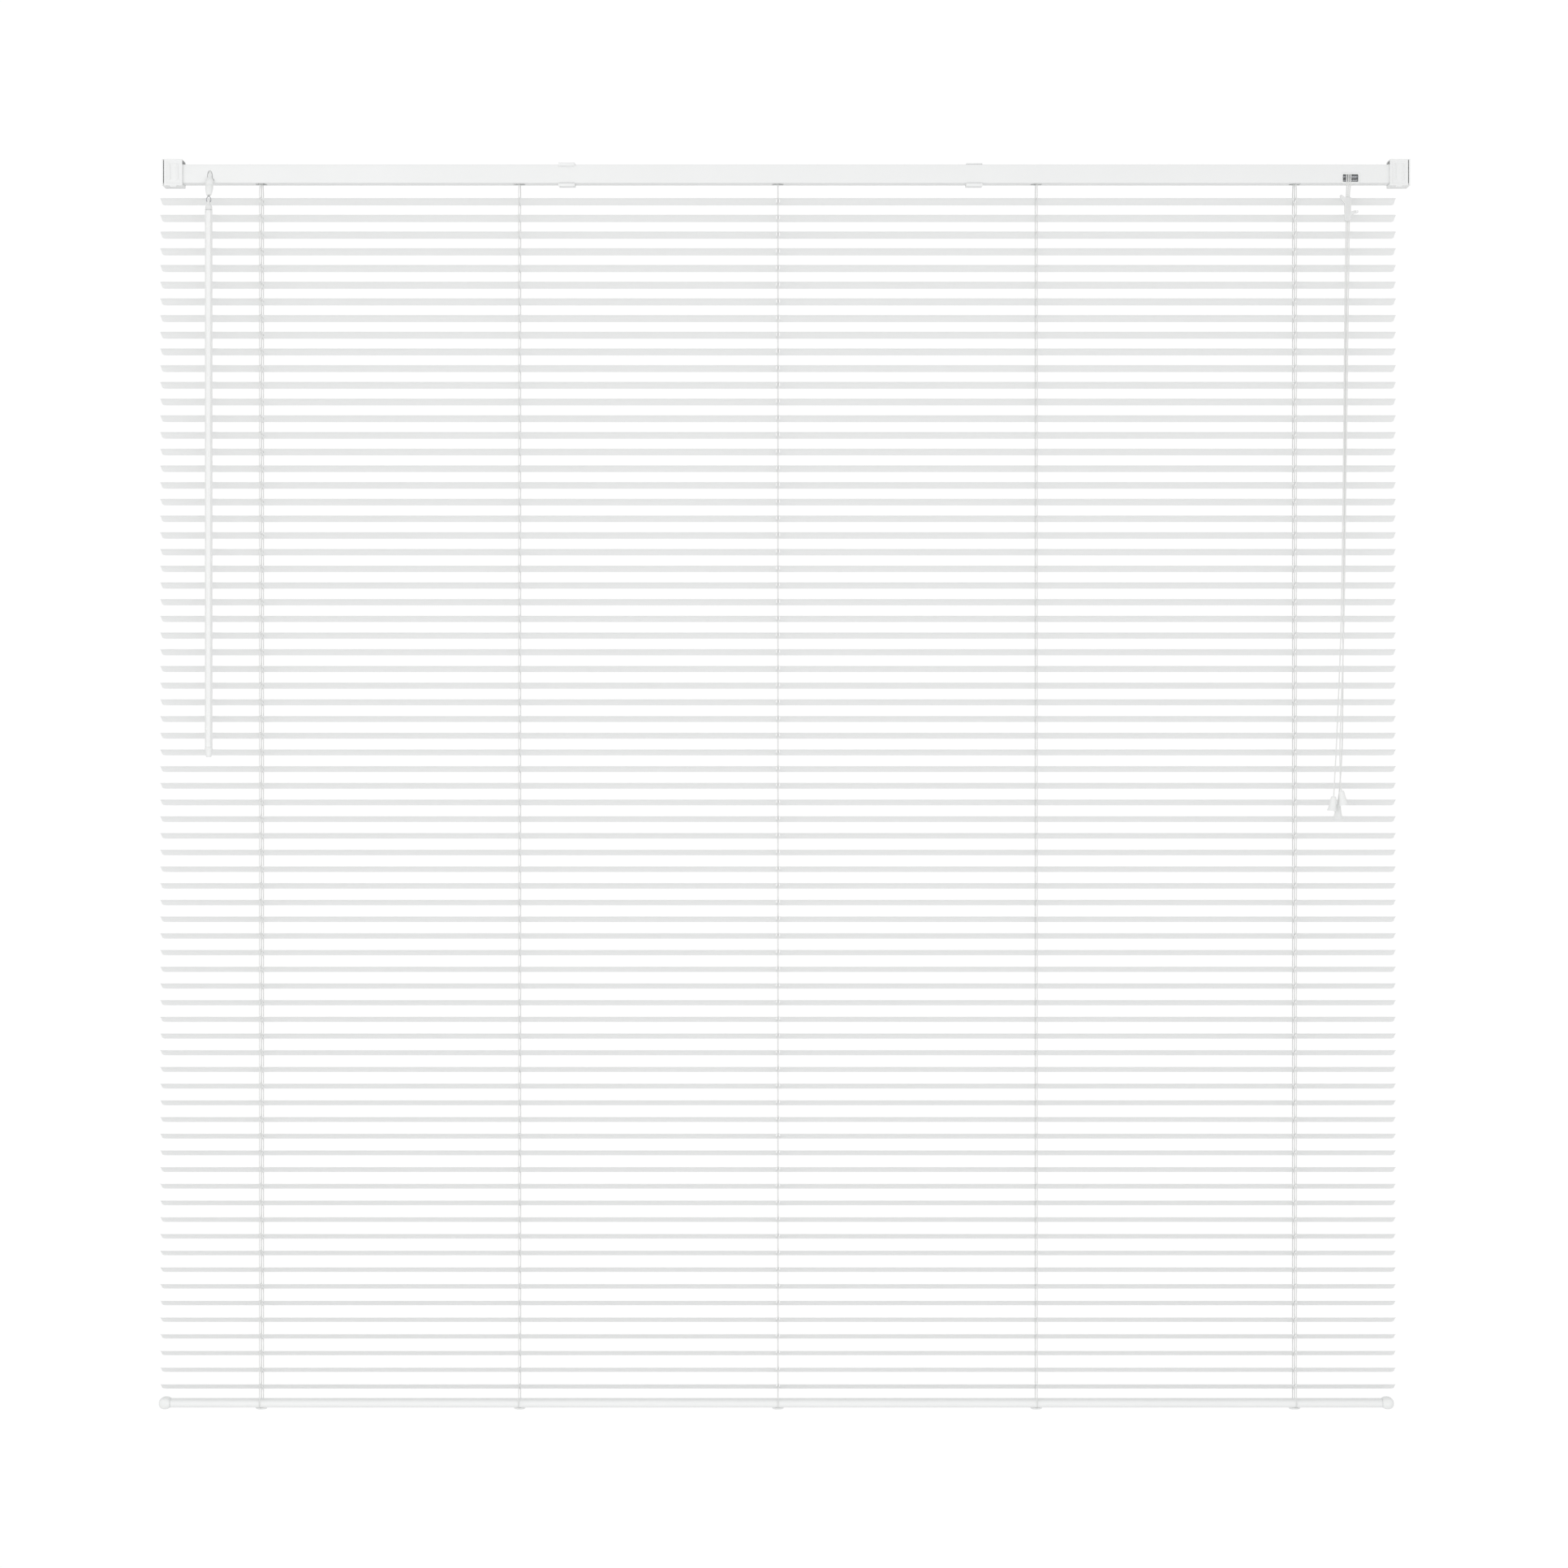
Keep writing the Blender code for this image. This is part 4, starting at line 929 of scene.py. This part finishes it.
def make_slat_shape(z, tilt):
    """A crowned strip with rounded corners and a slot for each lift cord."""
    shape = bmesh.new()
    uv = shape.loops.layers.uv.verify()
    shares = [k / 5 for k in range(-5, 6)]
    center, hole_end = 5, 3  # the middle share, and how many shares the slots reach from it
    half_length, half_width = ROUTE_HOLE
    columns = slat_columns()
    across, normal = Vector((0, cos(tilt), -sin(tilt))), Vector((0, sin(tilt), cos(tilt)))
    faces = []
    for height in (SLAT_THICKNESS / 2, -SLAT_THICKNESS / 2):
        grid = []
        for x, width in columns:
            near = min(abs(x - hole) for hole in LIFT_CORD_X)
            row = []
            for n, share in enumerate(shares):
                s = share * width
                if near < half_length * 1.01 and abs(n - center) == hole_end:
                    round_end = half_length * (1 - sqrt(max(0, 1 - (near / half_length) ** 2)))
                    s = (1 if n > center else -1) * (half_width - round_end)
                point = Vector((x, ORIGIN.y, z)) + across * s + normal * (crown(s) + height)
                row.append((shape.verts.new(point), (x, s)))
            grid.append(row)
        faces.append(grid)
    top, under = faces

    def solid(i, n):
        """Whether the cell between columns i and i + 1 and shares n and n + 1 is metal."""
        if not 0 <= i < len(columns) - 1 or not 0 <= n < len(shares) - 1:
            return False
        mid = (columns[i][0] + columns[i + 1][0]) / 2
        in_hole = any(abs(mid - hole) < half_length for hole in LIFT_CORD_X)
        return not (in_hole and center - hole_end <= n < center + hole_end)

    def face(corners):
        made = shape.faces.new([vert for vert, _ in corners])
        for loop, (_, place) in zip(made.loops, corners):
            loop[uv].uv = place

    for i in range(len(columns) - 1):
        for n in range(len(shares) - 1):
            if not solid(i, n):
                continue
            face((top[i][n], top[i + 1][n], top[i + 1][n + 1], top[i][n + 1]))
            face((under[i][n + 1], under[i + 1][n + 1], under[i + 1][n], under[i][n]))
            for beside, one, other in (
                ((i, n - 1), (i, n), (i + 1, n)), ((i + 1, n), (i + 1, n), (i + 1, n + 1)),
                ((i, n + 1), (i + 1, n + 1), (i, n + 1)), ((i - 1, n), (i, n + 1), (i, n)),
            ):
                if not solid(*beside):
                    (a, b), (c, d) = one, other
                    face((top[a][b], under[a][b], under[c][d], top[c][d]))
    bmesh.ops.delete(shape, geom=[v for v in shape.verts if not v.link_faces], context="VERTS")
    bmesh.ops.recalc_face_normals(shape, faces=shape.faces)
    return shape


def shear(made):
    """Bakes a piece's place in the world into its mesh."""
    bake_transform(made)


def make_slats():
    for number in range(1, SLAT_COUNT + 1):
        section = (number - 1) // SECTION_SLATS + 1
        shape = make_slat_shape(slat_z(number), slat_tilt(number))
        slat = piece(f"slat_{number:02d}", shape, WHITE_SLAT, radians(45))
        if number % SECTION_SLATS == 1:
            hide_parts(f"slats_{SECTIONS[section - 1]}")
        shear(slat)


def rung(x, slat, above):
    """One strand across a ladder, over or under a slat."""
    side, z, tilt = 1 if above else -1, slat_z(slat), slat_tilt(slat)
    points = []
    for share in (-1, -0.93, -0.8, -0.45, 0, 0.45, 0.8, 0.93, 1):
        s = share * LADDER_CORD_Y / cos(tilt)
        clear = side * (SLAT_THICKNESS / 2 + 0.38 * MM)
        clear *= 1 if abs(share) < 0.9 else 0.9 if abs(share) < 1 else 0.1
        height = crown(min(abs(s), SLAT_WIDTH / 2)) + clear
        aside = side * 1.1 * MM * (1 - share ** 4)
        y = ORIGIN.y + s * cos(tilt) + height * sin(tilt)
        points.append((x + aside, y, z - s * sin(tilt) + height * cos(tilt)))
    return points


def ladder_spread(x):
    """How far a ladder's front cord hangs outward, and its rear cord inward, of their middle."""
    return LADDER_SPREAD * (x - LADDER_X[2]) / (LADDER_X[4] - LADDER_X[2])


def make_ladder(number, section):
    """A ladder's two cords past twelve slats, with a pair of thin rungs round each slat."""
    x = LADDER_X[number - 1]
    outward = ladder_spread(x)
    last = SECTION_SLATS * section
    slats = range(last - SECTION_SLATS + 1, last + 1)
    top, low = slat_z(slats[0] - 0.5), slat_z(last + 0.5)
    if section == len(SECTIONS):
        low = BOTTOM_HIGH.z - 0.5 * MM
    shape = bmesh.new()
    for side in (-1, 1):
        cord_x, cord_y = x - side * outward, ORIGIN.y + side * LADDER_CORD_Y
        line = [(cord_x, cord_y, top)]
        if section == 1:
            inside, under = ORIGIN.y + side * LEAD_Y, RAIL_LOW.z
            line = [
                (cord_x, inside, ORIGIN.z - 8.5 * MM), (cord_x, inside, under + 1 * MM),
                (cord_x, inside + side * 0.8 * MM, under - 1.5 * MM),
                (cord_x, cord_y - side * 0.6 * MM, under - 10 * MM),
            ]
        for slat in slats:
            meet = slat_z(slat) - side * LADDER_CORD_Y * tan(slat_tilt(slat))
            line += [
                (cord_x, cord_y, meet + 2 * MM), (cord_x + side * outward * 0.25, cord_y, meet),
                (cord_x, cord_y, meet - 2 * MM),
            ]
        line = [p for p in line if p[2] >= low] + [(cord_x, cord_y, low)]
        tube(line, LADDER_CORD_RADIUS, 8, into=shape)
    for slat in slats:
        for above in (True, False):
            tube(rung(x, slat, above), RUNG_RADIUS, 6, into=shape)
    ladder = piece(f"ladder_{number}_part_{section}", shape, CORD_WHITE, radians(60))
    if number == 3:
        span = SECTIONS[section - 1]
        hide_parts(f"front_ladder_{span}", f"rear_ladder_{span}")
    shear(ladder)


def make_lift_cords():
    """Cords through the slats' slots, and their runs inside the headrail."""
    y, top, low = ORIGIN.y, RAIL_LOW.z, BOTTOM_HIGH.z - 1.0 * MM
    for number, x in enumerate(LIFT_CORD_X, 1):
        line = [(x, y, low + (top - low) * k / LIFT_CORD_STEPS) for k in range(LIFT_CORD_STEPS + 1)]
        cord = piece(f"lift_cord_{number}", tube(line, LIFT_CORD_RADIUS, 10), CORD_WHITE)
        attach(cord, "headrail")
        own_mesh(cord)
        inside = [
            (x, y, top - 0.5 * MM), (x, y, top + 1.5 * MM), (x + 1 * MM, y + 0.5 * MM, top + 2.6 * MM),
            (x + 6 * MM, y + 2 * MM, top + 2.8 * MM), (x + 30 * MM, y + 4 * MM, top + 2.2 * MM),
            (LOCK_X - 24 * MM - 3 * MM * number, y + 4 * MM + number * MM, top + 2.2 * MM),
        ]
        run = tube(curve_through(inside, 8), LIFT_CORD_RADIUS, 8)
        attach(piece(f"lift_cord_run_{number}", run, CORD_WHITE), "headrail")


# ---- bottom rail

BOTTOM_WALL = 1.0 * MM


def rail_outline(inset, groove=False):
    """The bottom rail's smoothed outline, with a fold along the middle of its top if asked."""
    depth = (BOTTOM_HIGH.y - BOTTOM_LOW.y) / 2 - inset
    height = (BOTTOM_HIGH.z - BOTTOM_LOW.z) / 2 - inset
    shares = [(0.3, -1), (0.55, -1), (0.88, -0.86), (1, -0.25), (0.97, 0.35), (0.8, 0.78), (0.4, 0.99)]
    half = [(depth * a, height * b) for a, b in shares]
    if groove:
        half += [(0.5 * MM, height), (0.25 * MM, height - 0.5 * MM)]
    left = [(-y, z) for y, z in reversed(half)]
    return [(ORIGIN.y + y, BOTTOM_Z + z) for y, z in smooth_loop(half + left, 4)]


def make_bottom_rail():
    outer, inner = rail_outline(0, True), rail_outline(BOTTOM_WALL, True)
    rail = piece("rail_section", pipe(outer, inner, "X", BOTTOM_LOW.x, BOTTOM_HIGH.x), WHITE_RAIL)
    z = BOTTOM_LOW.z
    cut(rail, *[
        prism(circle(3.8 * MM, 20, (x, ORIGIN.y)), "Z", z - 5 * MM, z + 4 * MM) for x in LADDER_X
    ])
    stands_for(rail, "bottom_rail", "bottom_rail")
    for number, x in enumerate(LADDER_X, 1):
        make_plug(number, x)
        make_wrap(number, x)
    make_end_cap("left")
    make_end_cap("right")


def make_plug(number, x):
    """A round button with a shallow dish, and a slot that the ladder's ends are tied through."""
    low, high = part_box(f"ladder_plug_{number}")
    y, z = ORIGIN.y, low.z
    under, head, top = (BOTTOM_LOW.z - GAP - z) / MM, 7.5, (high.z - z) / MM
    profile = [
        (0, top), (3.2, top), (3.5, top - 0.3), (3.5, under), (head - 0.3, under), (head, under - 0.3),
        (head, under - 1.1), (7.1, under - 1.9), (6.2, 0.15), (5.6, 0), (4.2, 0.15), (2, 0.5), (0, 0.55),
    ]
    plug = piece(f"plug_{number}", turned(profile, 36, (x, y), z), WHITE_PLASTIC)
    cut(plug, *[box_at((x, y, z), (m - 0.6, -2.4, -1), (m + 0.6, 2.4, 1.3)) for m in (-2.2, 2.2)])
    stands_for(plug, "bottom_rail", f"ladder_plug_{number}")


def make_wrap(number, x):
    """The ladder's two cords, round the rail's edges and under its plug."""
    shape = bmesh.new()
    top, low = BOTTOM_HIGH.z, BOTTOM_LOW.z
    for side in (-1, 1):
        edge = ORIGIN.y + side * (BOTTOM_HIGH.y - BOTTOM_LOW.y) / 2
        cord_x = x - side * ladder_spread(x)
        out = side * MM
        line = [
            (ORIGIN.y + side * LADDER_CORD_Y, top), (edge + 0.75 * out, BOTTOM_Z + 1 * MM),
            (edge + 0.6 * out, BOTTOM_Z - 1.6 * MM), (edge - 1.6 * out, low + 0.1 * MM),
            (edge - 4.4 * out, low - 0.75 * MM), (edge - 7.2 * out, low - 0.9 * MM),
        ]
        tube(curve_through([(cord_x, y, z) for y, z in line], 5), LADDER_CORD_RADIUS, 8, into=shape)
    wrap = piece(f"ladder_wrap_{number}", shape, CORD_WHITE, radians(60))
    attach(wrap, "bottom_rail")


def make_end_cap(side):
    """A bulging cap pushed over the rail's end, with a lip round its mouth."""
    low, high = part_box(f"bottom_rail_{side}_cap")
    outward = -1 if side == "left" else 1
    face, length = high.x if side == "left" else low.x, high.x - low.x
    outline = rail_outline(0)
    # Shares of the cap's length from its mouth, with its height and depth there against the rail's.
    sections = [
        (0.0, 0.98, 0.985), (0.02, 1.06, 1.01), (0.07, 1.1, 1.02), (0.1, 1.16, 1.03), (0.18, 1.3, 1.06),
        (0.32, 1.4, 1.095), (0.5, 1.42, 1.1), (0.66, 1.35, 1.09), (0.8, 1.18, 1.04), (0.9, 0.96, 0.95),
        (0.96, 0.74, 0.84), (1.0, 0.42, 0.62),
    ]
    rings = []
    for along, swell, spread in sections:
        x = face + outward * length * along
        rings.append([
            (x, ORIGIN.y + (y - ORIGIN.y) * spread, BOTTOM_Z + (z - BOTTOM_Z) * swell) for y, z in outline
        ])
    cap = piece(f"end_cap_{side}", loft(rings), WHITE_PLASTIC, radians(50))
    stands_for(cap, "bottom_rail", f"bottom_rail_{side}_cap")


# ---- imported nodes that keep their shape

KEPT_NODES = ["tilt_rod", "tilter_gear", "tilter_housing", "cord_lock_housing"]
KEPT_NODES += [f"{kind}_{n}" for kind in ("tilt_drum", "drum_cradle") for n in range(1, 6)]


def finish_kept_nodes():
    """Gives the mechanism's nodes their finish and slightly rounded edges."""
    for name in KEPT_NODES:
        look = PLATED_STEEL if name == "tilt_rod" else WHITE_PLASTIC
        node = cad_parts[name]
        for slot in node.material_slots:
            slot.material = look.material
        edge = node.modifiers.new("soft_edges", "BEVEL")
        edge.width, edge.segments = 0.2 * MM, 2
        edge.limit_method, edge.angle_limit = "ANGLE", radians(50)


def main():
    make_camera()
    make_pull_cords()
    make_studio()
    make_headrail()
    for side in ("left", "right"):
        make_box_bracket(side)
        make_gate(side)
        make_support(side, side == "left")
    make_cord_lock()
    make_worm()
    make_wand()
    make_slats()
    for number in range(1, 6):
        for section in range(1, len(SECTIONS) + 1):
            make_ladder(number, section)
    make_lift_cords()
    make_bottom_rail()
    finish_kept_nodes()


main()
